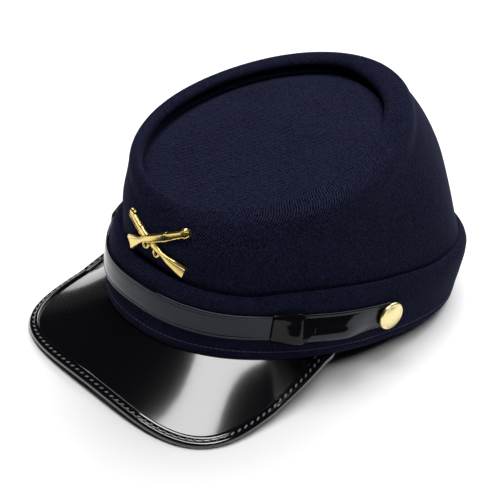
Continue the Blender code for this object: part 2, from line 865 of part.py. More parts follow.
def rifle_mesh(rifle):
    """One rifle as a loft along its length, leaning to one side of the badge."""
    lift = rifle[3]
    build = bmesh.new()
    rings = []
    for distance, top, bottom in RIFLE_OUTLINE:
        section = rifle_section(distance, top, bottom, lift)
        rings.append([build.verts.new(on_badge(*corner, rifle)) for corner in section])
    for first, second in zip(rings, rings[1:]):
        for k in range(len(first)):
            after = (k + 1) % len(first)
            build.faces.new((first[k], first[after], second[after], second[k]))
    build.faces.new(rings[0])
    build.faces.new(rings[-1])
    return finished(build, "rifle")


def guard_mesh(rifle):
    """The trigger guard: a small wire ring that sinks into the stock's lower edge."""
    bpy.ops.mesh.primitive_torus_add(
        major_radius=GUARD_RADIUS,
        minor_radius=GUARD_WIRE,
        major_segments=16,
        minor_segments=8,
        location=on_badge(GUARD_POSITION, -GUARD_DROP, rifle[3] + RIFLE_THICKNESS / 2, rifle),
        rotation=(math.radians(90), 0, 0),
    )
    ring = bpy.context.active_object
    bpy.context.view_layer.update()
    mesh = ring.data.copy()
    mesh.transform(ring.matrix_world)
    bpy.data.objects.remove(ring, do_unlink=True)
    return mesh


def united(base, tool_mesh):
    """The base mesh with the tool's shape joined to it by a Boolean, as a new mesh."""
    holder = bpy.data.objects.new("base", base)
    tool = bpy.data.objects.new("tool", tool_mesh)
    bpy.context.scene.collection.objects.link(holder)
    bpy.context.scene.collection.objects.link(tool)
    join = holder.modifiers.new("join", "BOOLEAN")
    join.operation = "UNION"
    join.solver = "EXACT"
    join.object = tool
    graph = bpy.context.evaluated_depsgraph_get()
    result = bpy.data.meshes.new_from_object(holder.evaluated_get(graph))
    bpy.data.objects.remove(holder, do_unlink=True)
    bpy.data.objects.remove(tool, do_unlink=True)
    return result


def crown_at(angle, height):
    """The point of the crown's outer face at this angle and height, below its crest."""
    profile = [wall_point(angle, share) for share in WALL_SHARES]
    profile += [rim_outer_point(angle, row) for row in RIM_OUTER]
    index = 1
    while index < len(profile) - 1 and profile[index].z < height:
        index += 1
    low, high = profile[index - 1], profile[index]
    return low.lerp(high, (height - low.z) / (high.z - low.z))


def badge_wall(x, height):
    """How far forward the crown stands at this place, as a y coordinate."""
    angle = math.degrees(math.atan2(x, HALF_LENGTH))
    for _ in range(WALL_SEARCH_STEPS):
        wall = crown_at(angle, height)
        angle += (x - wall.x) * WALL_SEARCH_TURN
    return wall.y


def build_badge(stand):
    over, under = RIFLES
    mesh = rifle_mesh(over)
    for tool in (guard_mesh(over), rifle_mesh(under), guard_mesh(under)):
        mesh = united(mesh, tool)
    for vertex in mesh.vertices:
        x = vertex.co.x + BADGE_X
        z = vertex.co.z + BADGE_Z
        y = badge_wall(x, z) - BADGE_STAND + vertex.co.y
        vertex.co = pressed(Vector((x, y, z)))
    mesh.name = "badge"
    mesh.shade_smooth()
    mesh.set_sharp_from_angle(angle=math.radians(30))
    new_object("badge", mesh, BRASS, stand)


def main():
    clear_scene()
    stand = new_stand()
    build_band(stand)
    build_crown(stand)
    build_top_disc(stand)
    build_peak(stand)
    build_peak_binding(stand)
    build_strap("front_strap", -FRONT_STRAP_END, FRONT_STRAP_END, FRONT_STRAP_COLUMNS, stand)
    for side, sign in (("left", 1), ("right", -1)):
        start, end = sorted((SIDE_STRAP_START * sign, BUTTON_ANGLE * sign))
        build_strap(f"side_strap_{side}", start, end, SIDE_STRAP_COLUMNS, stand)
        build_keeper(f"keeper_{side}", sign, stand)
        build_button(f"button_{side}", sign, stand)
    build_badge(stand)


main()
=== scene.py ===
"""The looks of a kepi cap at rest on a pale floor: napped navy wool, black patent leather and gilt brass.

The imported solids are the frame. Every soft or shiny piece is built again here at full smoothness on the same
form, given its seams, stitches and grain, and put in place of its solid.
"""

import math

import bpy
import numpy as np
from bpy.props import FloatProperty, FloatVectorProperty, PointerProperty
from mathutils import Matrix, Vector


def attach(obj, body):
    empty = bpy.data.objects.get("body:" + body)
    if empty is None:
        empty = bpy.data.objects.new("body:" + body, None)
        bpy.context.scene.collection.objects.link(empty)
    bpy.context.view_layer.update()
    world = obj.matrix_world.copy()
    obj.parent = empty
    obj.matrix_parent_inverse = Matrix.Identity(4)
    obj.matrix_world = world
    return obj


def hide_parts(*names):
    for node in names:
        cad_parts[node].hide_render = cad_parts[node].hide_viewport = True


bl_info = {
    "name": "Kepi cap",
    "version": (1, 0, 0),
    "blender": (4, 5, 0),
    "location": "3D View > Sidebar > Kepi",
    "description": "Dresses a kepi cap in wool, patent leather and brass, and sets it on a pale floor",
    "category": "Object",
}

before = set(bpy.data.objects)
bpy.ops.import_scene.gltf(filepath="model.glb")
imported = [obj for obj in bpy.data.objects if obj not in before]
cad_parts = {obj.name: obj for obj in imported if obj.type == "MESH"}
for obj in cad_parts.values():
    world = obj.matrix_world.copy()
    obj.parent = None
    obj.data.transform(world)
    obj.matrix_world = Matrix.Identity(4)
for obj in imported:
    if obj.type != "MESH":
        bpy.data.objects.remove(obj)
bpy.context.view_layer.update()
MM = 0.001

# ---- The cap's form, in millimetres, upright in its own frame: the same named sizes as the solids ----

# The band, and the crease where the crown goes into it.
HALF_LENGTH = 104.0
HALF_WIDTH = 81.2
OVAL_TAPER = 0.17
OVAL_SQUARENESS = 2.29
BAND_THICKNESS = 2.6
BAND_SWELL = 0.7
CREASE_HEIGHTS = (
    # angle from the front in degrees, height
    (-180.0, 36.2),
    (-120.0, 37.0),
    (-60.0, 37.8),
    (0.0, 37.0),
    (29.0, 34.6),
    (45.0, 34.9),
    (57.0, 37.5),
    (68.0, 38.5),
    (80.0, 38.1),
    (106.0, 35.7),
    (125.0, 36.6),
    (180.0, 36.2),
)
CREASE_INSET_BACK = 3.2
CREASE_INSET_FRONT = 5.2
LIP_THICKNESS = 2.4
LIP_DROP = 1.1
LIP_SHARE = 0.55
FULLER_FROM = 95.0
FULLEST_FROM = 135.0
BAND_OUTSIDE = (
    # share of the crease height, growth of the oval, further growth at the back
    (0.0, -0.5, 0.0),
    (0.03, 0.0, 0.1),
    (0.28, 0.5, 0.6),
    (0.60, BAND_SWELL, 1.3),
    (0.80, 0.4, 1.8),
    (0.92, -0.5, 2.0),
    (0.98, -1.7, 1.6),
)
BAND_INSIDE = (
    # share of the crease height, growth of the oval
    (0.80, BAND_SWELL - BAND_THICKNESS),
    (0.40, BAND_SWELL - BAND_THICKNESS),
    (0.03, -BAND_THICKNESS),
    (0.0, 0.3 - BAND_THICKNESS),
)
HEM_HEIGHT = 5.0
HEM_DENT = 0.45
HEM_DENT_HALF = 0.9
HEM_PITCH = 2.7
HEM_STITCH = (1.9, 0.6, 0.55)  # length, width, height

# The crown's tipped top, its disc and the rim round it, which lies flat on the wearer's left.
TOP_TILT = 15.75
TOP_CENTRE_Y = -20.25
TOP_CENTRE_Z = 95.85
TOP_HALF_WIDTH = 60.0
TOP_HALF_LENGTH = 78.2
TOP_TAPER = -0.10
DISC_HALF_WIDTH = 50.3
DISC_HALF_LENGTH = 69.8
DISC_TAPER = -0.06
DISC_FORWARD = 5.9
DISC_GROWTH = 0.15
DISC_CLOTH = 1.8
CLOTH = 2.0
TUCK_DEPTH = 5.5
TUCK_GAP = 0.7
SEAM_GAP = 0.4
FLAT_FROM = -35.0
FLAT_BY = 20.0
RISE_FROM = 112.0
RISE_BY = 146.0
SIDE_FROM = 10.0
SIDE_BY = 60.0
RIM_OUTER = (
    # outward, upward, further outward at the back, then where the rim is flat: upward, outward at the front,
    # and outward at the side
    (4.3, -8.5, 2.0, -15.0, 9.2, 6.9),
    (3.7, -5.2, 1.6, -11.2, 7.0, 6.3),
    (2.6, -2.3, 0.9, -7.9, 4.3, 5.2),
    (1.2, -0.6, 0.4, -5.7, 1.9, 3.2),
)
NARROW_FROM = 108.0
NARROW_BY = 138.0
WIDE_FROM = 168.0
WIDE_BY = 205.0
RIM_ROLL = (
    # share of the way from the disc's edge to the crest, the same where the groove is narrow, outward,
    # upward, and share, outward and upward where the rim is flat
    (0.91, 0.86, 0.0, 0.0, 0.88, 0.0, -4.35),
    (0.72, 0.61, 0.0, -0.2, 0.55, 0.0, -3.85),
    (0.53, 0.36, 0.0, -0.85, 0.3, 0.0, -3.58),
    (0.41, 0.19, 0.0, -2.1, 0.15, 0.0, -3.44),
    (0.42, 0.13, 0.0, -3.9, 0.0, 0.0, -3.46),
    (0.58, 0.18, 0.1, -6.6, -0.12, 0.0, -3.7),
    (0.50, 0.22, 0.4, -9.4, -0.3, 0.0, -4.6),
)
WALL_BULGE = (
    # angle from the front, bulge
    (-180.0, 9.0),
    (-135.0, 4.3),
    (-90.0, -1.0),
    (-45.0, 0.8),
    (0.0, 2.0),
    (25.0, 1.8),
    (50.0, 1.2),
    (90.0, -0.8),
    (135.0, 4.3),
    (180.0, 9.0),
)
BULGE_SKEW = 0.7
WALL_SHARES = np.linspace(0, 0.92, 12)
DISC_UPPER = (
    # share of the radius, height from the crest, share where the rim is flat, height where the rim is flat
    (1.12, -10.8, 1.045, -4.7),
    (1.02, -8.7, 1.022, -3.75),
    (0.995, -7.2, 1.003, -3.42),
    (0.95, -6.3, 0.965, -3.32),
    (0.7, -5.0, 0.7, -3.3),
    (0.38, -3.9, 0.38, -3.4),
    (0.0, -3.5, 0.0, -3.5),
)

# The peak and the edging folded round its edge.
PEAK_END_ANGLE = 75.0
PEAK_END_GROWTH = -1.8
PEAK_LEVEL_Y = -36.2
PEAK_HALF_WIDTH = 77.2
PEAK_FRONT = 130.3
PEAK_WIDEST = 71.2
PEAK_SQUARENESS = 3.57
PEAK_SLOPE = 0.28
PEAK_DROOP = 5.85
PEAK_DROOP_WIDTH = 70.0
PEAK_DROOP_REACH = 40.0
PEAK_THICKNESS = 1.8
PEAK_TUCK = 1.8
PEAK_END_TUCK = 5.6
PEAK_END_FROM = 0.80
PEAK_END_BY = 0.95
PEAK_EDGE_INSET = 1.1
PEAK_HOLLOW = 1.2
PEAK_CLEARANCE = 0.3
BINDING_WIDTH = 5.5
BINDING_LEAF = 0.7
BINDING_GAP = 0.36
BINDING_LINE_SHARE = 0.85
EDGING_LINE_INSET = 2.75
EDGING_LINE_LIFT = 1.98
EDGING_STITCH = (2.5, 0.95, 1.0)  # length, width, height
EDGING_SLANT = 24
EDGING_BARE = 3

# The chin strap, whose lower edge stands off the band beside the keepers.
STRAP_WIDTH = 14.0
STRAP_THICKNESS = 1.3
STRAP_GROWTH = BAND_SWELL + 0.4
STRAP_LINE = (
    # angle from the front, height of the strap's middle
    (0.0, 21.2),
    (20.0, 20.2),
    (36.0, 19.5),
    (52.0, 20.2),
    (64.0, 20.4),
    (76.0, 19.6),
    (100.0, 18.2),
)
STRAP_LEAN = 4.1
LEAN_FROM = 52.0
LEAN_BY = 60.0
UPRIGHT_FROM = 74.0
UPRIGHT_BY = 84.0
LEAN_ACROSS = (
    # share of the strap's half width, share of the lean
    (-1.15, 0.72),
    (-1.0, 0.85),
    (-0.78, 1.0),
    (-0.55, 0.93),
    (0.8, 0.05),
    (1.0, 0.0),
    (1.15, 0.0),
)
STRAP_STITCH = (1.45, 0.5, 0.42)  # length, width, height
FRONT_STRAP_END = 59.6
SIDE_STRAP_START = 61.4
BUTTON_ANGLE = 88.5
KEEPER_START = 52.2
KEEPER_SHOULDER = 60.6
KEEPER_TIP = 65.0
KEEPER_HALF_HEIGHT = 7.8
KEEPER_TIP_SHARE = 0.12
KEEPER_RAISE = 0.3
KEEPER_LEATHER = 0.8
KEEPER_EDGE = 0.22
KEEPER_SECTION = (
    # share of the half height, growth of the oval
    (-1.0, 1.6),
    (-1.0, 2.7),
    (-0.86, 3.5),
    (-0.4, 3.9),
    (0.0, 4.0),
    (0.4, 3.9),
    (0.86, 3.5),
    (1.0, 2.7),
    (1.0, 1.6),
)
KEEPER_TIP_GROWTH = 3.5
KEEPER_FLAT_BY = 0.1

# The brass, and how the cap rests: tipped back, and sunk a little into the floor where it is soft.
BUTTON_RADIUS = 7.8
BUTTON_STAND = 0.65
BADGE_X = 0.4
BADGE_Z = 51.3
BADGE_STAND = 0.55
RIFLES = (
    # side its muzzle points to, angle above the level, distance from its butt to the crossing, lift
    (1, 29.0, 17.4, 1.1),
    (-1, 21.0, 24.6, 0.0),
)
RIFLE_THICKNESS = 1.7
RIFLE_OUTLINE = (
    # distance from the butt, top edge, bottom edge
    (0.0, 2.6, -5.2),
    (1.2, 2.8, -5.1),
    (7.0, 2.3, -3.4),
    (11.5, 1.6, -2.2),
    (14.0, 1.5, -1.5),
    (16.0, 2.1, -1.7),
    (20.0, 2.4, -2.0),
    (24.0, 2.3, -2.1),
    (29.0, 2.2, -2.1),
    (29.8, 2.5, -2.3),
    (31.0, 2.5, -2.3),
    (31.8, 2.1, -2.0),
    (39.3, 1.9, -1.8),
    (39.9, 2.7, -1.9),
    (41.2, 2.6, -2.3),
    (42.0, 2.0, -2.2),
    (43.5, 1.6, -1.5),
)
GUARD_POSITION = 16.6
GUARD_DROP = 2.3
GUARD_RADIUS = 1.8
GUARD_WIRE = 0.7
REST_PITCH = 7.6
REST_SINK = 0.45
ROW_CENTRE_Y = -11.4

# ---- Fineness of the meshes ----
ROUND_COLUMNS = 300
CROWN_ROWS = 88
BAND_ROWS = 97
DISC_ROWS = 60
PEAK_COLUMNS = 200
PEAK_ROWS = 34
BINDING_ROWS = 89
STRAP_ROWS = 73
STRAP_COLUMNS_PER_DEGREE = 2.4
STRAP_COLUMNS_LEAST = 24
KEEPER_ROWS = 41
KEEPER_COLUMNS = 18
KEEPER_TIP_COLUMNS = 13

# ---- What a user would change ----

COLOUR = {"subtype": "COLOR", "size": 3, "min": 0, "max": 1}


class KepiWool(bpy.types.PropertyGroup):
    dark: FloatVectorProperty(
        name="Dark yarn", description="Colour of the wool between its raised yarns",
        default=(0.0009, 0.0010, 0.0029), **COLOUR,
    )
    light: FloatVectorProperty(
        name="Light yarn", description="Colour of the raised, lighter yarns",
        default=(0.0145, 0.0158, 0.0408), **COLOUR,
    )
    twill: FloatProperty(
        name="Twill pitch", description="Distance from one twill line to the next", unit="LENGTH",
        default=1.15 * MM, min=0.2 * MM, max=5 * MM,
    )
    nap: FloatProperty(
        name="Nap height", description="How far the raised fibres stand out", unit="LENGTH",
        default=0.08 * MM, min=0, max=1 * MM,
    )
    ease: FloatProperty(
        name="Softness", description="How far the cloth wanders from a true form", unit="LENGTH",
        default=0.35 * MM, min=0, max=2 * MM,
    )


class KepiLeather(bpy.types.PropertyGroup):
    colour: FloatVectorProperty(
        name="Leather", description="Colour of the patent leather under its gloss",
        default=(0.0035, 0.0035, 0.0045), **COLOUR,
    )
    ripple: FloatProperty(
        name="Ripple", description="Height of the slow waves in the gloss", unit="LENGTH",
        default=0.035 * MM, min=0, max=0.3 * MM,
    )
    edging_pitch: FloatProperty(
        name="Edging stitch", description="Distance between the stitches of the peak's edging", unit="LENGTH",
        default=3.9 * MM, min=1 * MM, max=8 * MM,
    )
    strap_pitch: FloatProperty(
        name="Strap stitch", description="Distance between the stitches along the strap", unit="LENGTH",
        default=1.9 * MM, min=1 * MM, max=8 * MM,
    )


class KepiBrass(bpy.types.PropertyGroup):
    gilt: FloatVectorProperty(
        name="Gilt", description="Colour of the gilt brass", default=(0.84, 0.67, 0.25), **COLOUR
    )
    pale: FloatVectorProperty(
        name="Pale gilt", description="Colour of the thinner, paler gilding on the buttons",
        default=(0.92, 0.80, 0.46), **COLOUR,
    )


class KepiStage(bpy.types.PropertyGroup):
    floor: FloatVectorProperty(
        name="Floor", description="Colour of the floor", default=(0.88, 0.88, 0.89), **COLOUR
    )
    key: FloatProperty(
        name="Overhead light", description="Brightness of the long softbox overhead",
        default=8.5, min=0, max=99,
    )
    side: FloatProperty(
        name="Side light", description="Brightness of the softbox behind the cap",
        default=5.6, min=0, max=99,
    )
    low: FloatProperty(
        name="Sweep", description="Brightness of the pale sweep low round the room",
        default=0.85, min=0, max=5,
    )
    dark_side: FloatProperty(
        name="Dark side", description="Share of the sweep's brightness on the wearer's left",
        default=0.12, min=0, max=1,
    )
    room: FloatProperty(
        name="Room light", description="Brightness of the rest of the room",
        default=0.035, min=0, max=5,
    )


# ---- The cap's curves, for whole arrays of angles or places at once ----


def between(values, slopes, low, width, t):
    """The smooth curve at the share t of the way from each low place to the next."""
    start = (1 + 2 * t) * (1 - t) ** 2 * values[low] + t * (1 - t) ** 2 * width * slopes[low]
    end = t * t * (3 - 2 * t) * values[low + 1] + t * t * (t - 1) * width * slopes[low + 1]
    return start + end


def smooth_value(rows, at, closed=False):
    """Values of the smooth curve through rows of (place, value), with level or wrapped ends."""
    places, values = np.array(rows, float).T
    slopes = np.zeros(len(values))
    slopes[1:-1] = (values[2:] - values[:-2]) / (places[2:] - places[:-2])
    if closed:
        slopes[0] = slopes[-1] = (values[1] - values[-2]) / (places[1] - places[0] + places[-1] - places[-2])
    at = np.clip(at, places[0], places[-1])
    low = np.clip(np.searchsorted(places, at, side="right") - 1, 0, len(places) - 2)
    width = places[low + 1] - places[low]
    return between(values, slopes, low, width, (at - places[low]) / width)


def ramp(value, start, end):
    """0 before the start and 1 past the end, with a smooth rise between."""
    t = np.clip((value - start) / (end - start), 0.0, 1.0)
    return t * t * (3 - 2 * t)


def signed_power(value, power):
    return np.sign(value) * np.abs(value) ** power


def unit(vectors):
    return vectors / np.linalg.norm(vectors, axis=-1, keepdims=True)


def points(x, y, z):
    return np.stack(np.broadcast_arrays(x, y, z), axis=-1).astype(float)


def at_back(angle):
    return ramp(np.abs(angle), FULLER_FROM, FULLEST_FROM)


def flatness(angle):
    """0 where the rim stands up as a roll, 1 where it lies flat and the disc runs level into it."""
    return ramp(angle, FLAT_FROM, FLAT_BY) * (1 - ramp(angle, RISE_FROM, RISE_BY))


def mixed(first, second, share):
    return first + (second - first) * share


def on_band(angle, growth, height):
    """Points of the head oval, by the angle in degrees from the front to the wearer's left."""
    turn = np.radians(angle)
    power = 2 / OVAL_SQUARENESS
    x = (HALF_WIDTH + growth) * signed_power(np.sin(turn), power) * (1 - OVAL_TAPER * np.cos(turn))
    y = -(HALF_LENGTH + growth) * signed_power(np.cos(turn), power)
    return points(x, y, height)


def crease_height(angle):
    return smooth_value(CREASE_HEIGHTS, angle, closed=True)


def crease_inset(angle):
    ahead = (1 + np.cos(np.radians(angle))) / 2
    return mixed(CREASE_INSET_BACK, CREASE_INSET_FRONT, ahead) - BAND_OUTSIDE[-1][2] / 2 * at_back(angle)


def top_points(angle, half_width, half_length, taper, forward, up):
    """Points of an ellipse in the tipped plane of the crown's top."""
    turn = np.radians(angle)
    tilt = math.radians(TOP_TILT)
    x = half_width * np.sin(turn) * (1 - taper * np.cos(turn))
    along = -half_length * np.cos(turn) - forward
    y = TOP_CENTRE_Y + along * math.cos(tilt) - up * math.sin(tilt)
    z = TOP_CENTRE_Z + along * math.sin(tilt) + up * math.cos(tilt)
    return points(x, y, z)


def narrowness(angle):
    """0 where the groove round the disc is wide, 1 where the roll lies close to the disc."""
    turn = np.mod(angle, 360)
    return ramp(turn, NARROW_FROM, NARROW_BY) * (1 - ramp(turn, WIDE_FROM, WIDE_BY))


def rim_points(angle, share, outward, up):
    """Points of the rim's section, between the disc's edge (share 0) and the crest (share 1)."""
    disc = top_points(
        angle, DISC_HALF_WIDTH + outward, DISC_HALF_LENGTH + outward, DISC_TAPER, DISC_FORWARD, up
    )
    crest = top_points(angle, TOP_HALF_WIDTH + outward, TOP_HALF_LENGTH + outward, TOP_TAPER, 0.0, up)
    return mixed(disc, crest, share)


def rim_outer_points(angle, row):
    outward, up, at_back_outward, flat_up, front_outward, side_outward = row
    flat = flatness(angle)
    flat_outward = mixed(front_outward, side_outward, ramp(angle, SIDE_FROM, SIDE_BY))
    outward = mixed(outward, flat_outward, flat) + at_back_outward * at_back(angle)
    return rim_points(angle, 1.0, outward, mixed(up, flat_up, flat))


def rim_roll_points(angle, row):
    share, narrow_share, outward, up, flat_share, flat_outward, flat_up = row
    flat = flatness(angle)
    share = mixed(mixed(share, narrow_share, narrowness(angle)), flat_share, flat)
    return rim_points(angle, share[:, None], mixed(outward, flat_outward, flat), mixed(up, flat_up, flat))


def wall_points(angle, share):
    """Points of the crown's wall, from the crease (share 0) to the foot of the rim (share 1)."""
    foot = on_band(angle, -crease_inset(angle) - SEAM_GAP, crease_height(angle))
    wall = mixed(foot, rim_outer_points(angle, RIM_OUTER[0]), share)
    bulge = smooth_value(WALL_BULGE, angle, closed=True)
    bulge = bulge * 4 * share * (1 - share) * (1 - BULGE_SKEW * (1 - 2 * share))
    wall[..., :2] += unit(wall[..., :2] - (0, TOP_CENTRE_Y * share)) * bulge[..., None]
    return wall


def crown_profile(angle):
    """Rows of the crown's outer face, from the crease to the outside of the rim."""
    rows = [wall_points(angle, share) for share in WALL_SHARES]
    return rows + [rim_outer_points(angle, row) for row in RIM_OUTER]


def through(rows, count, closed=False):
    """Rows of points at equal steps on the smooth surface through the given rows."""
    rows = np.asarray(rows, float)
    if closed:
        rows = np.concatenate([rows[-2:], rows, rows[:3]])
    steps = np.linalg.norm(np.diff(rows, axis=0), axis=-1).mean(axis=1)
    places = np.concatenate([[0.0], np.cumsum(np.maximum(steps, 1e-6))])
    slopes = np.gradient(rows, places, axis=0)
    first, last = (places[2], places[-3]) if closed else (places[0], places[-1])
    at = np.linspace(first, last, count)
    low = np.clip(np.searchsorted(places, at, side="right") - 1, 0, len(places) - 2)
    width = (places[low + 1] - places[low])[:, None, None]
    return between(rows, slopes, low, width, (at - places[low])[:, None, None] / width)


def round_angles():
    """Angles once round the cap, with the first repeated at the end."""
    return np.linspace(-180.0, 180.0, ROUND_COLUMNS + 1)


# ---- The peak's curves ----


def evenly_spaced(path, count):
    """Points at equal steps along a path."""
    places = np.concatenate([[0.0], np.cumsum(np.linalg.norm(np.diff(path, axis=0), axis=1))])
    at = np.linspace(0.0, places[-1], count + 1)
    return np.stack([np.interp(at, places, path[:, k]) for k in range(path.shape[1])], axis=1)


def peak_outline(count):
    """The peak's edge from the wearer's right end to the left one, evenly spaced, as (x, y)."""
    end = on_band(np.array(PEAK_END_ANGLE), PEAK_END_GROWTH, 0.0)
    power = 2 / PEAK_SQUARENESS
    turn = np.radians(np.linspace(0, 90, 181))
    x = PEAK_HALF_WIDTH * np.sin(turn) ** power
    y = -PEAK_WIDEST - (PEAK_FRONT - PEAK_WIDEST) * np.maximum(np.cos(turn), 0.0) ** power
    t = np.linspace(0, 1, 31)[1:]
    x = np.concatenate([x, PEAK_HALF_WIDTH + (end[0] - PEAK_HALF_WIDTH) * t**3])
    y = np.concatenate([y, -PEAK_WIDEST + (end[1] + PEAK_WIDEST) * t])
    half = np.stack([x, y], axis=1)
    mirrored = half[:0:-1] * (-1, 1)
    return evenly_spaced(np.concatenate([mirrored, half]), count)


def peak_lines(count):
    """Straight lines of the peak's middle surface: their roots under the band, and their ends at the edge."""
    outline = peak_outline(count)
    x, y = outline.T
    reach = np.maximum(PEAK_LEVEL_Y - y, 0.0)
    droop = PEAK_DROOP * (x / PEAK_DROOP_WIDTH) ** 2 * np.minimum(reach / PEAK_DROOP_REACH, 1.0)
    position = np.linspace(-1, 1, count + 1)
    ending = ramp(np.abs(position), PEAK_END_FROM, PEAK_END_BY)
    drop = PEAK_CLEARANCE + PEAK_THICKNESS / 2 + (BINDING_GAP + BINDING_LEAF) * ending
    tuck = mixed(PEAK_TUCK, PEAK_END_TUCK, ending)
    roots = on_band(PEAK_END_ANGLE * position, -tuck, -drop)
    edges = points(x, y, np.minimum(-PEAK_SLOPE * reach - droop, -drop * ending))
    return roots, edges


def inset_share(roots, edges, inset):
    """The share of each line, from edge to root, at which it lies this far in from the edge."""
    ruling = roots - edges
    length = np.linalg.norm(ruling, axis=1)
    leaning = (ruling * unit(np.gradient(edges, axis=0))).sum(axis=1) / length
    room = length * np.sqrt(1 - leaning**2)
    return np.minimum(1.0, BINDING_LINE_SHARE * room / BINDING_WIDTH) * inset / room


def peak_points(roots, edges, shares, lift):
    """Points of the peak's section at these shares of its lines, lifted square to the middle surface."""
    middle = mixed(edges, roots, shares[:, None])
    middle[:, 2] -= PEAK_HOLLOW * 4 * shares * (1 - shares)
    normal = unit(np.cross(roots - edges, np.gradient(middle, axis=0)))
    normal *= np.sign(normal[:, 2:])
    return middle + normal * lift


# ---- Where the cap rests ----


def rest_matrix():
    """From the cap's own frame to where it rests: tipped back about the band's lowest point at the back."""
    pivot = Vector((0, HALF_LENGTH, 0)) * MM
    tip = Matrix.Rotation(math.radians(-REST_PITCH), 4, "X")
    home = Matrix.Translation(Vector((0, -ROW_CENTRE_Y, -REST_SINK)) * MM)
    return home @ Matrix.Translation(pivot) @ tip @ Matrix.Translation(-pivot)


REST = np.array(rest_matrix())


def set_down(places):
    """Places in millimetres in the cap's own frame, moved to metres where it rests, none below the floor."""
    places = np.asarray(places, float) * MM @ REST[:3, :3].T + REST[:3, 3]
    places[..., 2] = np.maximum(places[..., 2], 0.0)
    return places


def turned(directions):
    return np.asarray(directions, float) @ REST[:3, :3].T


# ---- Making pieces ----


def clear_choice():
    if bpy.context.mode != "OBJECT":
        bpy.ops.object.mode_set(mode="OBJECT")
    bpy.ops.object.select_all(action="DESELECT")


def choose(*pieces):
    clear_choice()
    for piece in pieces:
        piece.select_set(True)
    bpy.context.view_layer.objects.active = pieces[-1]


def edit_all(piece, *steps):
    """Runs edit-mode steps on the whole of a piece."""
    choose(piece)
    bpy.ops.object.mode_set(mode="EDIT")
    bpy.ops.mesh.select_all(action="SELECT")
    for step in steps:
        step()
    bpy.ops.object.mode_set(mode="OBJECT")


def add_modifier(piece, kind, **settings):
    """Adds a modifier and applies it."""
    choose(piece)
    modifier = piece.modifiers.new(kind.lower(), kind)
    for name, value in settings.items():
        setattr(modifier, name, value)
    bpy.ops.object.modifier_apply(modifier=modifier.name)


def lay_sheet(name, rows, inside=None):
    """A grid primitive laid on rows of points, where the cap rests, with its edges joined where they meet.

    It faces away from the point inside. Its UV map is in metres along and across, as cloth is cut.
    """
    laid = set_down(rows)
    across, along = laid.shape[:2]
    clear_choice()
    bpy.ops.mesh.primitive_grid_add(x_subdivisions=along - 1, y_subdivisions=across - 1, size=1)
    piece = bpy.context.object
    piece.name = piece.data.name = name
    piece.data.vertices.foreach_set("co", laid.ravel())
    steps_along = np.linalg.norm(np.diff(laid, axis=1), axis=-1).sum(axis=1).mean()
    steps_across = np.linalg.norm(np.diff(laid, axis=0), axis=-1).sum(axis=0).mean()
    cut = np.empty(len(piece.data.loops) * 2, np.float32)
    piece.data.uv_layers[0].data.foreach_get("uv", cut)
    cut = cut.reshape(-1, 2) * (steps_along, steps_across)
    piece.data.uv_layers[0].data.foreach_set("uv", cut.astype(np.float32).ravel())
    piece.data.uv_layers[0].name = "cut"
    edit_all(piece, lambda: bpy.ops.mesh.remove_doubles(threshold=1e-7))
    if inside is None:
        edit_all(piece, lambda: bpy.ops.mesh.normals_make_consistent(inside=False))
    elif facing(piece, inside) < 0:
        edit_all(piece, bpy.ops.mesh.flip_normals)
    return piece


def facing(piece, inside):
    """How much of a sheet faces away from a point."""
    inside = Vector(inside)
    return sum((face.center - inside).dot(face.normal) * face.area for face in piece.data.polygons)


def smooth(piece, degrees=40.0):
    choose(piece)
    bpy.ops.object.shade_smooth_by_angle(angle=math.radians(degrees))
    return piece


def settle(piece, slot, material, *nodes):
    """Gives a finished piece its material, its place on the cap and the solids that it stands for."""
    piece.data.materials.clear()
    piece.data.materials.append(material)
    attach(piece, "root")
    if nodes:
        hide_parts(*nodes)


def joined(pieces, name):
    choose(*pieces)
    bpy.ops.object.join()
    piece = bpy.context.object
    piece.name = piece.data.name = name
    return piece


def frames_along(middles, outwards):
    """Matrices along a line: x runs with the line, z points outward."""
    along = unit(np.gradient(middles, axis=0))
    outwards = unit(outwards - along * (outwards * along).sum(axis=1, keepdims=True))
    columns = np.stack([along, np.cross(outwards, along), outwards, middles], axis=-1)
    return [Matrix((*rows.tolist(), (0, 0, 0, 1))) for rows in columns]


def stitch_places(line, outward, pitch, first, last):
    """Frames at even steps along a line on the cap, less the first few and the last few."""
    count = int(np.linalg.norm(np.diff(line, axis=0), axis=1).sum() / pitch)
    both = evenly_spaced(np.concatenate([line, outward], axis=1), count)[first:-last]
    return frames_along(set_down(both[:, :3]), turned(both[:, 3:]))


def sew(name, places, size, slant=0.0):
    """One rounded stitch, copied to each place. Its slant is how far it turns across its line, in degrees."""
    clear_choice()
    bpy.ops.mesh.primitive_uv_sphere_add(segments=8, ring_count=6, radius=0.5)
    stitch = bpy.context.object
    bpy.ops.transform.rotate(value=math.radians(90), orient_axis="Y", center_override=(0, 0, 0))
    bpy.ops.object.transform_apply(rotation=True)
    shape = Matrix.Diagonal((*(side * MM for side in size), 1))
    stitch.data.transform(Matrix.Rotation(math.radians(slant), 4, "Z") @ shape)
    copies = []
    for place in places:
        copy = stitch.copy()
        copy.data = stitch.data.copy()
        copy.data.transform(place)
        bpy.context.collection.objects.link(copy)
        copies.append(copy)
    bpy.data.objects.remove(stitch)
    return smooth(joined(copies, name), 60)


# ---- Finishes ----


class Nodes:
    """A node tree under construction, with short ways to add nodes and join them."""

    def __init__(self, tree):
        self.tree = tree

    def add(self, kind, sockets=None, **settings):
        node = self.tree.nodes.new(kind)
        for name, value in settings.items():
            setattr(node, name, value)
        for socket, value in (sockets or {}).items():
            self.feed(node, socket, value)
        return node

    def feed(self, node, socket, value):
        if isinstance(value, bpy.types.NodeSocket):
            self.tree.links.new(value, node.inputs[socket])
        else:
            node.inputs[socket].default_value = value

    def maths(self, operation, first, second):
        return self.add("ShaderNodeMath", {0: first, 1: second}, operation=operation).outputs[0]


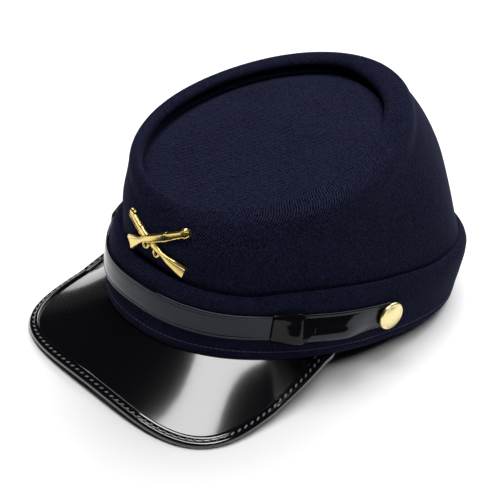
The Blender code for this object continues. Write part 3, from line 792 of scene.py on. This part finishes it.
class Finish(Nodes):
    """A material under construction."""

    def __init__(self, name):
        self.material = bpy.data.materials.new(name)
        self.material.use_nodes = True
        super().__init__(self.material.node_tree)
        self.shader = self.tree.nodes["Principled BSDF"]

    def noise(self, vector, size, detail=2.0, roughness=0.5):
        """A noise whose features are about this size in metres."""
        sockets = {"Vector": vector, "Scale": 1 / size, "Detail": detail, "Roughness": roughness}
        return self.add("ShaderNodeTexNoise", sockets).outputs[0]

    def blend(self, share, first, second):
        """A colour part of the way from the first to the second."""
        sockets = {0: share, 6: (*first, 1), 7: (*second, 1)}
        return self.add("ShaderNodeMix", sockets, data_type="RGBA").outputs[2]

    def bump(self, height, distance, below=None):
        sockets = {"Height": height, "Distance": distance, "Strength": 1.0}
        if below is not None:
            sockets["Normal"] = below
        return self.add("ShaderNodeBump", sockets).outputs[0]

    def set(self, **sockets):
        """Sets the shader's sockets, with colours as three numbers, and hands over the finished material."""
        for name, value in sockets.items():
            value = (*value, 1) if isinstance(value, tuple) else value
            self.feed(self.shader, name.replace("_", " "), value)
        return self.material

    def place(self):
        return self.add("ShaderNodeTexCoord").outputs["Object"]

    def cut(self):
        return self.add("ShaderNodeUVMap", uv_map="cut").outputs[0]


# The wool's weave, its nap and its patches, and what each adds to its tone.
WAVES_PER_SCALE = 3.18
TWILL_ANGLE = 45
FIBRE_SIZE = 0.98 * MM
CLUMP_SIZE = 3.2 * MM
DRIFT_SIZE = 26 * MM
WAVE_TONE = 1.1
FIBRE_TONE = 3.1
CLUMP_TONE = 0.25
DRIFT_TONE = 0.35
TONE_BASE = 1.93


def wool_finish(name, look, turn=0.0):
    """Napped twill: diagonal lines under a felted surface, with its tone drifting a little."""
    finish = Finish(name)
    place = finish.place()
    aslant = (0, 0, math.radians(TWILL_ANGLE + turn))
    warp = finish.add("ShaderNodeMapping", {"Vector": finish.cut(), "Rotation": aslant}).outputs[0]
    scale = 1 / (look.twill * WAVES_PER_SCALE)
    sockets = {"Vector": warp, "Scale": scale, "Distortion": 2.2, "Detail": 3.0, "Detail Scale": 2.5}
    wave = finish.add("ShaderNodeTexWave", sockets).outputs[1]
    fibre = finish.noise(place, FIBRE_SIZE, roughness=0.75)
    clumps = finish.noise(place, CLUMP_SIZE)
    drift = finish.noise(place, DRIFT_SIZE)
    yarn = finish.maths("MULTIPLY", wave, WAVE_TONE)
    yarn = finish.maths("ADD", yarn, finish.maths("MULTIPLY", fibre, FIBRE_TONE))
    tone = finish.maths("ADD", yarn, finish.maths("MULTIPLY", clumps, CLUMP_TONE))
    tone = finish.maths("ADD", tone, finish.maths("MULTIPLY", drift, DRIFT_TONE))
    tone = finish.maths("SUBTRACT", tone, TONE_BASE)
    felted = finish.maths("ADD", finish.maths("MULTIPLY", yarn, 0.5), finish.maths("MULTIPLY", clumps, 0.4))
    return finish.set(
        Base_Color=finish.blend(tone, look.dark, look.light), Roughness=0.95, Specular_IOR_Level=0.03,
        Normal=finish.bump(felted, look.nap),
        Sheen_Weight=0.05, Sheen_Roughness=0.35, Sheen_Tint=(0.42, 0.46, 0.80),
    )


def patent_finish(
    name, look, ripple_size=14 * MM, ripple=1.0, coat=1.0, coat_haze=0.03, specular=0.5, tint=(1.0, 1.0, 1.0)
):
    """Black leather, glossy and slowly rippled, with a very fine grain, and a clear coat where it has one."""
    finish = Finish(name)
    place = finish.place()
    slow = finish.noise(place, ripple_size, detail=1.0, roughness=0.4)
    normal = finish.bump(slow, look.ripple * ripple)
    normal = finish.bump(finish.noise(place, 0.9 * MM), 0.0012 * MM, below=normal)
    haze = finish.maths("MULTIPLY", finish.noise(place, 18 * MM, detail=3.0), 0.08)
    return finish.set(
        Base_Color=tuple(look.colour), Roughness=finish.maths("ADD", haze, 0.05), Normal=normal,
        Specular_IOR_Level=specular, Specular_Tint=tint, Coat_Weight=coat, Coat_Roughness=coat_haze,
    )


def thread_finish(name, colour, roughness):
    """Twisted thread, lighter and darker by turns."""
    finish = Finish(name)
    twist = finish.noise(finish.place(), 0.25 * MM)
    tone = finish.blend(twist, tuple(0.7 * c for c in colour), tuple(1.3 * c for c in colour))
    normal = finish.bump(twist, 0.05 * MM)
    return finish.set(Base_Color=tone, Roughness=roughness, Normal=normal, Sheen_Weight=0.2)


def gilt_finish(name, colour, roughness, relief=0.0):
    """Gilt brass with a little tarnish in its tone, and a stippled ground where it is struck."""
    finish = Finish(name)
    place = finish.place()
    tarnish = finish.noise(place, 3.0 * MM, detail=3.0)
    tone = finish.blend(tarnish, colour, tuple(c * k for c, k in zip(colour, (0.86, 0.78, 0.6))))
    normal = finish.bump(finish.noise(place, 1.2 * MM), 0.012 * MM)
    if relief:
        normal = finish.bump(finish.noise(place, 0.9 * MM, detail=1.0), relief, below=normal)
    rough = finish.maths("ADD", finish.maths("MULTIPLY", tarnish, 0.12), roughness - 0.06)
    return finish.set(Base_Color=tone, Metallic=1.0, Roughness=rough, Normal=normal)


# ---- Cloth pieces ----

# Places that the sheets face away from, in metres: inside the head space, and under the peak.
INSIDE = tuple(set_down([0.0, -10.0, 45.0]))
BELOW_PEAK = (0, -0.1, -0.5)

# The slow waves in the crown's cloth: their seed, and the shares of its height where they set in and end.
EASE_SEED = 4
EASE_START = (0.08, 0.3)
EASE_END = (0.82, 0.95)


def cloth_ease(angle, share, seed):
    """Slow waves in how cloth lies, over the angle round the cap and the share of its height."""
    turn = np.radians(angle)
    waves = np.random.default_rng(seed).uniform(0, 2 * math.pi, (5, 2))
    total = 0.0
    for k, (first, second) in enumerate(waves, start=2):
        total = total + np.sin(k * turn + first) * np.sin(k * 1.3 * share + second) / k
    return total


def normals_of(rows):
    """Unit normals of a surface given as rows of points."""
    rows = np.asarray(rows, float)
    normal = np.cross(np.gradient(rows, axis=1), np.gradient(rows, axis=0))
    length = np.linalg.norm(normal, axis=-1, keepdims=True)
    return normal / np.maximum(length, 1e-9)


class KEPI_OT_crown(bpy.types.Operator):
    """Builds the crown's cloth wall, rolled over the top and tucked down round the disc"""

    bl_idname = "kepi.crown"
    bl_label = "Crown"

    def execute(self, context):
        look = context.scene.kepi_wool
        angle = round_angles()
        rows = [on_band(angle, -crease_inset(angle) - TUCK_GAP, crease_height(angle) - TUCK_DEPTH)]
        rows += crown_profile(angle)
        rows += [rim_roll_points(angle, row) for row in RIM_ROLL]
        rows = through(rows, CROWN_ROWS)
        height = np.linspace(0, 1, CROWN_ROWS)[:, None]
        wander = cloth_ease(angle[None, :], 3 * height, EASE_SEED) * ramp(height, *EASE_START)
        wander *= 1 - ramp(height, *EASE_END)
        outward = normals_of(rows)
        outward *= np.sign((outward[..., :2] * rows[..., :2]).sum(axis=-1).mean())
        rows = rows + outward * (wander * look.ease / MM)[..., None]
        rows[:, -1] = rows[:, 0]
        crown = lay_sheet("crown_cloth", rows, INSIDE)
        add_modifier(crown, "SOLIDIFY", thickness=CLOTH * MM, offset=-1.0)
        settle(smooth(crown, 60), "crown_wool", wool_finish("crown_wool", look), "crown_wall")
        return {"FINISHED"}


class KEPI_OT_top(bpy.types.Operator):
    """Builds the recessed cloth disc of the top"""

    bl_idname = "kepi.top"
    bl_label = "Top disc"

    def execute(self, context):
        look = context.scene.kepi_wool
        angle = round_angles()
        flat = flatness(angle)
        rows = []
        for share, up, flat_share, flat_up in DISC_UPPER:
            across = mixed(share, flat_share, flat)
            width = (DISC_HALF_WIDTH + DISC_GROWTH) * across
            length = (DISC_HALF_LENGTH + DISC_GROWTH) * across
            rows.append(top_points(angle, width, length, DISC_TAPER, DISC_FORWARD, mixed(up, flat_up, flat)))
        rows = through(rows, DISC_ROWS)
        rows[:, -1] = rows[:, 0]
        rows[-1] = rows[-1].mean(axis=0)
        disc = lay_sheet("top_cloth", rows, INSIDE)
        level = np.empty(len(disc.data.vertices) * 3, np.float32)
        disc.data.vertices.foreach_get("co", level)
        level = level.reshape(-1, 3)[:, :2]
        corners = np.empty(len(disc.data.loops), np.int32)
        disc.data.loops.foreach_get("vertex_index", corners)
        disc.data.uv_layers[0].data.foreach_set("uv", level[corners].ravel())
        add_modifier(disc, "SOLIDIFY", thickness=DISC_CLOTH * MM, offset=-1.0)
        settle(smooth(disc, 60), "disc_wool", wool_finish("disc_wool", look, turn=20), "top_disc")
        return {"FINISHED"}


class KEPI_OT_band(bpy.types.Operator):
    """Builds the cloth band, with its soft shoulder and its stitched hem"""

    bl_idname = "kepi.band"
    bl_label = "Band"

    def execute(self, context):
        look = context.scene.kepi_wool
        angle = round_angles()
        crease = crease_height(angle)
        inset = crease_inset(angle)
        lip = LIP_SHARE * BAND_OUTSIDE[-1][1] - (1 - LIP_SHARE) * inset
        rows = []
        for share, growth, more in BAND_OUTSIDE:
            rows.append(on_band(angle, growth + more * at_back(angle), share * crease))
        rows.append(on_band(angle, lip, crease))
        rows.append(on_band(angle, -inset, crease - LIP_DROP))
        rows.append(on_band(angle, -inset, crease - LIP_THICKNESS))
        rows += [on_band(angle, growth, share * crease) for share, growth in BAND_INSIDE]
        rows = through(rows, BAND_ROWS, closed=True)
        outward = unit(on_band(angle, 1, 0) - on_band(angle, 0, 0))
        outside = (np.arange(len(rows)) <= np.argmax(rows[:, 0, 2]))[:, None]
        dent = HEM_DENT * np.exp(-(((rows[:, :, 2] - HEM_HEIGHT) / HEM_DENT_HALF) ** 2)) * outside
        rows = rows - dent[:, :, None] * outward
        rows[-1] = rows[0]
        rows[:, -1] = rows[:, 0]
        band = lay_sheet("band_cloth", rows)
        settle(smooth(band, 60), "band_wool", wool_finish("band_wool", look), "band")
        line = []
        for column in np.moveaxis(rows, 1, 0):
            above = int(np.argmax(column[:, 2] > HEM_HEIGHT))
            share = (HEM_HEIGHT - column[above - 1, 2]) / (column[above, 2] - column[above - 1, 2])
            line.append(mixed(column[above - 1], column[above], share))
        stitches = sew("hem_stitches", stitch_places(line, outward, HEM_PITCH, 0, 1), HEM_STITCH)
        settle(stitches, "band_wool", thread_finish("hem_thread", (0.017, 0.019, 0.045), 0.7))
        return {"FINISHED"}


# ---- Leather pieces ----

BINDING_SECTION = (
    # inward from the peak's edge, upward from its middle surface
    (BINDING_WIDTH, 1.28),
    (BINDING_WIDTH, 1.80),
    (BINDING_WIDTH - 0.25, 2.02),
    (BINDING_WIDTH - 0.9, 2.16),
    (3.75, 2.14),
    (3.15, 1.92),
    (2.75, 1.86),
    (2.35, 1.92),
    (1.7, 2.16),
    (0.8, 2.10),
    (0.0, 1.70),
    (-0.6, 0.95),
    (-0.8, 0.0),
    (-0.6, -0.95),
    (0.0, -1.70),
    (0.8, -1.98),
    (BINDING_WIDTH - 0.4, -1.96),
    (BINDING_WIDTH, -1.75),
    (BINDING_WIDTH, -1.28),
    (2.8, -1.26),
    (0.6, -1.26),
    (0.45, 0.0),
    (0.6, 1.26),
    (2.8, 1.26),
)


def lay_tube(name, rows, count):
    """A sheet closed round rows of points and at its two ends."""
    rows = through(rows, count, closed=True)
    rows[-1] = rows[0]
    piece = lay_sheet(name, rows)
    edit_all(piece, lambda: bpy.ops.mesh.fill_holes(sides=0))
    return piece


class KEPI_OT_peak(bpy.types.Operator):
    """Builds the patent leather peak and the folded edging round it"""

    bl_idname = "kepi.peak"
    bl_label = "Peak"

    def execute(self, context):
        look = context.scene.kepi_leather
        roots, edges = peak_lines(PEAK_COLUMNS)
        start = inset_share(roots, edges, PEAK_EDGE_INSET)
        rows = []
        for step in np.linspace(0, 1, PEAK_ROWS):
            rows.append(peak_points(roots, edges, mixed(start, 1, step), 0.0))
        peak = lay_sheet("peak_patent", rows, BELOW_PEAK)
        add_modifier(peak, "SOLIDIFY", thickness=PEAK_THICKNESS * MM, offset=0.0)
        settle(smooth(peak), "peak_leather", patent_finish("peak_patent", look, coat_haze=0.15), "peak")

        def edging_line(inset, lift):
            return peak_points(roots, edges, inset_share(roots, edges, inset), lift)

        edging = lay_tube("peak_edging", [edging_line(*row) for row in BINDING_SECTION], BINDING_ROWS)
        material = patent_finish("edging_patent", look, ripple_size=5 * MM, ripple=0.6)
        settle(smooth(edging, 50), "binding_leather", material, "peak_binding")

        line = edging_line(EDGING_LINE_INSET, EDGING_LINE_LIFT)
        outward = edging_line(EDGING_LINE_INSET, EDGING_LINE_LIFT + 1) - line
        places = stitch_places(line, outward, look.edging_pitch / MM, EDGING_BARE, EDGING_BARE)
        stitches = sew("edging_stitches", places, EDGING_STITCH, EDGING_SLANT)
        settle(stitches, "binding_leather", thread_finish("edging_thread", (0.16, 0.16, 0.17), 0.16))
        return {"FINISHED"}


STRAP_SECTION = (
    # share of the half width, share of the thickness
    (-1.0, 0.15),
    (-1.0, 0.70),
    (-0.965, 0.93),
    (-0.90, 1.02),
    (-0.84, 0.98),
    (-0.79, 0.86),
    (-0.74, 0.98),
    (-0.60, 1.08),
    (0.0, 1.16),
    (0.60, 1.08),
    (0.74, 0.98),
    (0.79, 0.86),
    (0.84, 0.98),
    (0.90, 1.02),
    (0.965, 0.93),
    (1.0, 0.70),
    (1.0, 0.15),
    (0.93, 0.0),
    (0.0, 0.0),
    (-0.93, 0.0),
)
STITCH_SHARE = 0.79
STITCH_RISE = 0.93
STRAP_TINT = (0.80, 0.85, 1.0)


def strap_height(angle):
    return smooth_value(STRAP_LINE, np.abs(angle))


def strap_lean(angle, across):
    """How far the strap stands off the band beside the keepers, where its lower part leans outward."""
    angle = np.abs(angle)
    share = ramp(angle, LEAN_FROM, LEAN_BY) * (1 - ramp(angle, UPRIGHT_FROM, UPRIGHT_BY))
    return STRAP_LEAN * share * smooth_value(LEAN_ACROSS, across)


def build_strap(name, start, end, node, look):
    """One length of strap, closed at its ends, with a groove along each edge for the stitches placed here."""
    count = max(STRAP_COLUMNS_LEAST, int(abs(end - start) * STRAP_COLUMNS_PER_DEGREE))
    angle = np.linspace(start, end, count)

    def strap_line(across, rise):
        height = strap_height(angle) + across * STRAP_WIDTH / 2
        return on_band(angle, STRAP_GROWTH + rise * STRAP_THICKNESS + strap_lean(angle, across), height)

    strap = lay_tube(name, [strap_line(*row) for row in STRAP_SECTION], STRAP_ROWS)
    material = patent_finish(
        name + "_patent", look, ripple_size=11 * MM, ripple=0.9, coat=0.0, specular=0.36, tint=STRAP_TINT
    )
    settle(smooth(strap, 50), "strap_leather", material, node)
    outward = on_band(angle, STRAP_GROWTH + 2, 0) - on_band(angle, STRAP_GROWTH + 1, 0)
    places = []
    for across in (-STITCH_SHARE, STITCH_SHARE):
        places += stitch_places(strap_line(across, STITCH_RISE), outward, look.strap_pitch / MM, 1, 1)
    return places


class KEPI_OT_strap(bpy.types.Operator):
    """Builds the chin strap in its three lengths, with its stitches"""

    bl_idname = "kepi.strap"
    bl_label = "Chin strap"

    def execute(self, context):
        look = context.scene.kepi_leather
        places = build_strap("strap_front", -FRONT_STRAP_END, FRONT_STRAP_END, "front_strap", look)
        places += build_strap("strap_left", SIDE_STRAP_START, BUTTON_ANGLE, "side_strap_left", look)
        places += build_strap("strap_right", -BUTTON_ANGLE, -SIDE_STRAP_START, "side_strap_right", look)
        stitches = sew("strap_stitches", places, STRAP_STITCH)
        settle(stitches, "strap_leather", thread_finish("strap_thread", (0.012, 0.012, 0.015), 0.35))
        return {"FINISHED"}


class KEPI_OT_keepers(bpy.types.Operator):
    """Builds the two leather keepers, each ending in a flat point"""

    bl_idname = "kepi.keepers"
    bl_label = "Keepers"

    def execute(self, context):
        look = context.scene.kepi_leather
        steps = np.concatenate([
            np.linspace(KEEPER_START, KEEPER_SHOULDER, KEEPER_COLUMNS),
            np.linspace(KEEPER_SHOULDER, KEEPER_TIP, KEEPER_TIP_COLUMNS)[1:],
        ])
        beyond = np.clip((steps - KEEPER_SHOULDER) / (KEEPER_TIP - KEEPER_SHOULDER), 0, 1)
        flat = np.minimum(beyond / KEEPER_FLAT_BY, 1.0)
        reach = KEEPER_HALF_HEIGHT * (1 - (1 - KEEPER_TIP_SHARE) * beyond)
        for side, sign in (("left", 1), ("right", -1)):
            rows = []
            for share, growth in KEEPER_SECTION:
                height = strap_height(steps) + KEEPER_RAISE + reach * share
                lean = strap_lean(steps, share * reach / KEEPER_HALF_HEIGHT)
                rows.append(on_band(steps * sign, mixed(growth, KEEPER_TIP_GROWTH, flat) + lean, height))
            keeper = lay_sheet("keeper_loop_" + side, through(rows, KEEPER_ROWS), INSIDE)
            add_modifier(keeper, "SOLIDIFY", thickness=KEEPER_LEATHER * MM, offset=0.0)
            sharp = {"limit_method": "ANGLE", "angle_limit": math.radians(50)}
            add_modifier(keeper, "BEVEL", width=KEEPER_EDGE * MM, segments=2, **sharp)
            name = f"keeper_{side}_patent"
            material = patent_finish(name, look, ripple_size=4 * MM, coat=0.0, specular=0.2)
            settle(smooth(keeper, 35), "keeper_leather", material, "keeper_" + side)
        return {"FINISHED"}


# ---- Brass pieces ----

BUTTON_RINGS = (
    # share of the radius, height: from the back's edge round the rim to the middle of the face
    (0.93, 0.0),
    (0.99, 0.35),
    (1.0, 0.95),
    (0.985, 1.55),
    (0.95, 1.95),
    (0.915, 2.08),
    (0.88, 2.0),
    (0.855, 1.8),
    (0.83, 1.72),
    (0.79, 1.85),
    (0.66, 2.3),
    (0.45, 2.75),
    (0.22, 3.0),
    (0.06, 3.08),
)
BUTTON_SIDES = 96


class KEPI_OT_buttons(bpy.types.Operator):
    """Builds the domed side buttons with their raised rims"""

    bl_idname = "kepi.buttons"
    bl_label = "Buttons"

    def execute(self, context):
        look = context.scene.kepi_brass
        for side, sign in (("left", 1), ("right", -1)):
            clear_choice()
            first = BUTTON_RINGS[0][0] * BUTTON_RADIUS * MM
            bpy.ops.mesh.primitive_circle_add(vertices=BUTTON_SIDES, radius=first)
            button = bpy.context.object
            button.name = button.data.name = "button_gilt_" + side
            bpy.ops.object.mode_set(mode="EDIT")
            bpy.ops.mesh.select_all(action="SELECT")
            for (before, low), (after, high) in zip(BUTTON_RINGS, BUTTON_RINGS[1:]):
                bpy.ops.mesh.extrude_edges_move(TRANSFORM_OT_translate={"value": (0, 0, (high - low) * MM)})
                bpy.ops.transform.resize(value=(after / before, after / before, 1))
            bpy.ops.mesh.merge(type="CENTER")
            bpy.ops.mesh.select_all(action="SELECT")
            bpy.ops.mesh.fill_holes(sides=0)
            bpy.ops.mesh.normals_make_consistent(inside=False)
            bpy.ops.object.mode_set(mode="OBJECT")
            angle = np.array(BUTTON_ANGLE * sign)
            growth = STRAP_GROWTH + STRAP_THICKNESS + BUTTON_STAND
            seat = set_down(on_band(angle, growth, strap_height(angle)))
            along = on_band(angle + 1, 0, 0) - on_band(angle - 1, 0, 0)
            outward = Vector(turned((along[1], -along[0], 0)))
            facing_out = outward.to_track_quat("Z", "Y").to_matrix().to_4x4()
            button.data.transform(Matrix.Translation(seat) @ facing_out)
            material = gilt_finish(f"button_{side}_gilt", look.pale, roughness=0.3, relief=0.05 * MM)
            settle(smooth(button, 50), "button_brass", material, "button_" + side)
        return {"FINISHED"}


RIFLE_SECTION = (
    # share of the way from the bottom edge to the top edge, share of the thickness
    (0.0, 0.0),
    (0.0, 0.55),
    (0.05, 0.84),
    (0.12, 0.98),
    (0.18, 1.0),
    (0.25, 0.90),
    (0.32, 0.84),
    (0.50, 0.84),
    (0.66, 0.86),
    (0.74, 0.92),
    (0.81, 1.02),
    (0.88, 1.0),
    (0.95, 0.84),
    (1.0, 0.55),
    (1.0, 0.0),
)
RIFLE_COLUMNS = 150
WALL_TRIES = 12
WALL_PACE = 0.6


def crown_at(angle, height):
    """Points of the crown's outer face at these angles and heights, below its crest."""
    profile = crown_profile(angle)
    found = profile[0]
    for low, high in zip(profile, profile[1:]):
        share = ((height - low[..., 2]) / (high[..., 2] - low[..., 2]))[..., None]
        found = np.where(share >= 0, mixed(low, high, share), found)
    return found


def badge_wall(x, height):
    """How far forward the crown stands at these places, as y coordinates."""
    x = np.asarray(x, float)
    angle = np.degrees(np.arctan2(x, HALF_LENGTH))
    for _ in range(WALL_TRIES):
        wall = crown_at(angle, height)
        angle = angle + (x - wall[..., 0]) * WALL_PACE
    return wall[..., 1]


def on_badge(along, across, depth, rifle):
    """Points on the badge, which is bent to the wall: along and across a rifle, and out from the wall."""
    mirror, angle, crossing, lift = rifle
    turn = math.radians(angle)
    u = np.asarray(along, float) - crossing
    x = (u * math.cos(turn) - across * math.sin(turn)) * mirror + BADGE_X
    z = u * math.sin(turn) + across * math.cos(turn) + BADGE_Z
    return points(x, badge_wall(x, z) - BADGE_STAND - lift - depth, z)


def build_rifle(name, rifle):
    """A rifle as a loft along its length: butt, wrist, lock, fore-end under the barrel, bands and muzzle."""
    places, tops, bottoms = np.array(RIFLE_OUTLINE).T
    along = np.unique(np.concatenate([np.linspace(0, places[-1], RIFLE_COLUMNS), places]))
    top = np.interp(along, places, tops)
    bottom = np.interp(along, places, bottoms)
    rows = []
    for across, rise in RIFLE_SECTION:
        rows.append(on_badge(along, mixed(bottom, top, across), rise * RIFLE_THICKNESS, rifle))
    rows.append(rows[0])
    piece = lay_sheet(name, np.array(rows))
    edit_all(
        piece,
        lambda: bpy.ops.mesh.fill_holes(sides=0),
        lambda: bpy.ops.mesh.normals_make_consistent(inside=False),
    )
    return piece


class KEPI_OT_badge(bpy.types.Operator):
    """Builds the badge: two crossed rifles with guards, bent to the crown"""

    bl_idname = "kepi.badge"
    bl_label = "Badge"

    def execute(self, context):
        look = context.scene.kepi_brass
        parts = []
        for rifle in RIFLES:
            parts.append(build_rifle("rifle", rifle))
            middle = on_badge(GUARD_POSITION, -GUARD_DROP, RIFLE_THICKNESS / 2, rifle)
            clear_choice()
            bpy.ops.mesh.primitive_torus_add(
                major_radius=GUARD_RADIUS * MM, minor_radius=GUARD_WIRE * MM,
                major_segments=40, minor_segments=14,
            )
            guard = bpy.context.object
            facing_out = Matrix(REST) @ Matrix.Rotation(math.radians(90), 4, "X")
            guard.data.transform(Matrix.Translation(set_down(middle)) @ facing_out.to_3x3().to_4x4())
            parts.append(guard)
        badge = joined(parts, "badge_gilt")
        material = gilt_finish("badge_gilt", look.gilt, roughness=0.27)
        settle(smooth(badge, 35), "badge_brass", material, "badge")
        return {"FINISHED"}


# ---- The stage ----

CAMERA_PLACE = (0.398368, -0.425222, 0.434601)
CAMERA_RIGHT = (0.69898, 0.71361, 0.04678)
CAMERA_UP = (-0.43263, 0.36986, 0.82221)
CAMERA_LENS = 92.781
CAMERA_SENSOR = 36.0
FLOOR_SIZE = 6
OVERHEAD_PLACE = (0.44, -0.33, 2.5)
OVERHEAD_AIM = (0.44, -0.33, 0.0)
OVERHEAD_SIZE = (2.9, 0.85)
SIDE_PLACE = (-0.55, 1.35, 1.50)
SIDE_AIM = (0.0, 0.0, 0.08)
SIDE_SIZE = (1.9, 1.4)

# How far up one looks where the sweep starts to fade and where it is gone, the way to the room's dark side,
# and how far that way one looks where the room starts to darken and where it is darkest.
LOW_GLOW = (0.20, 0.34)
DARK_TOWARDS = (0.978, -0.208)
DARK_EDGE = (0.1, 0.8)


def add_softbox(name, place, aim, size, radiance):
    """A softbox that faces the place it is aimed at and shines this brightly."""
    lamp = bpy.data.lights.new(name, "AREA")
    lamp.shape = "RECTANGLE"
    lamp.size, lamp.size_y = size
    lamp.energy = radiance * math.pi * size[0] * size[1]
    holder = bpy.data.objects.new(name, lamp)
    facing_aim = (Vector(aim) - Vector(place)).to_track_quat("-Z", "Y").to_matrix().to_4x4()
    holder.matrix_world = Matrix.Translation(place) @ facing_aim
    bpy.context.scene.collection.objects.link(holder)


def light_room(scene, look):
    """A pale sweep low round the room, which darkens above it and on the wearer's left."""
    world = bpy.data.worlds.new("room")
    world.use_nodes = True
    room = Nodes(world.node_tree)
    where = room.add("ShaderNodeTexCoord").outputs["Generated"]
    axes = room.add("ShaderNodeSeparateXYZ", {0: where}).outputs

    def fade(value, start, end, first, last):
        sockets = {"Value": value, "From Min": start, "From Max": end, "To Min": first, "To Max": last}
        return room.add("ShaderNodeMapRange", sockets, interpolation_type="SMOOTHSTEP").outputs[0]

    towards = [room.maths("MULTIPLY", axes[axis], share) for axis, share in enumerate(DARK_TOWARDS)]
    low = fade(axes[2], *LOW_GLOW, look.low, 0.0)
    low = room.maths("MULTIPLY", low, fade(room.maths("ADD", *towards), *DARK_EDGE, 1.0, look.dark_side))
    room.feed(room.tree.nodes["Background"], "Strength", room.maths("ADD", low, look.room))
    scene.world = world


class KEPI_OT_stage(bpy.types.Operator):
    """Sets the floor, the lights and the camera"""

    bl_idname = "kepi.stage"
    bl_label = "Stage"

    def execute(self, context):
        scene = context.scene
        look = scene.kepi_stage
        clear_choice()
        bpy.ops.mesh.primitive_plane_add(size=FLOOR_SIZE)
        floor = bpy.context.object
        floor.name = "floor"
        paper = Finish("floor_paper").set(Base_Color=tuple(look.floor), Roughness=0.9, Specular_IOR_Level=0.1)
        floor.data.materials.append(paper)

        right, up = Vector(CAMERA_RIGHT), Vector(CAMERA_UP)
        looking = Matrix((right, up, right.cross(up))).transposed().to_4x4()
        camera = bpy.data.objects.new("camera", bpy.data.cameras.new("camera"))
        camera.matrix_world = Matrix.Translation(CAMERA_PLACE) @ looking
        camera.data.lens = CAMERA_LENS
        camera.data.sensor_width = CAMERA_SENSOR
        camera.data.clip_start = 0.01
        scene.collection.objects.link(camera)
        scene.camera = camera

        add_softbox("overhead", OVERHEAD_PLACE, OVERHEAD_AIM, OVERHEAD_SIZE, look.key)
        add_softbox("side", SIDE_PLACE, SIDE_AIM, SIDE_SIZE, look.side)
        light_room(scene, look)
        scene.view_settings.view_transform = "Standard"
        return {"FINISHED"}


class KEPI_PT_panel(bpy.types.Panel):
    """Lists the cap's pieces and their settings"""

    bl_label = "Kepi cap"
    bl_idname = "KEPI_PT_panel"
    bl_space_type = "VIEW_3D"
    bl_region_type = "UI"
    bl_category = "Kepi"

    def draw(self, context):
        for name, kind in SETTINGS.items():
            box = self.layout.box()
            for setting in kind.__annotations__:
                box.prop(getattr(context.scene, name), setting)
        for operator in OPERATORS:
            self.layout.operator(operator.bl_idname)


SETTINGS = {
    "kepi_wool": KepiWool,
    "kepi_leather": KepiLeather,
    "kepi_brass": KepiBrass,
    "kepi_stage": KepiStage,
}
OPERATORS = (
    KEPI_OT_crown,
    KEPI_OT_top,
    KEPI_OT_band,
    KEPI_OT_peak,
    KEPI_OT_strap,
    KEPI_OT_keepers,
    KEPI_OT_buttons,
    KEPI_OT_badge,
    KEPI_OT_stage,
)


def register():
    for kind in (*SETTINGS.values(), *OPERATORS, KEPI_PT_panel):
        bpy.utils.register_class(kind)
    for name, kind in SETTINGS.items():
        setattr(bpy.types.Scene, name, PointerProperty(type=kind))


def unregister():
    for name in SETTINGS:
        delattr(bpy.types.Scene, name)
    for kind in (KEPI_PT_panel, *reversed(OPERATORS), *reversed(SETTINGS.values())):
        bpy.utils.unregister_class(kind)


def main():
    register()
    bpy.ops.kepi.crown()
    bpy.ops.kepi.top()
    bpy.ops.kepi.band()
    bpy.ops.kepi.peak()
    bpy.ops.kepi.strap()
    bpy.ops.kepi.keepers()
    bpy.ops.kepi.buttons()
    bpy.ops.kepi.badge()
    bpy.ops.kepi.stage()


if __name__ == "__main__":
    main()
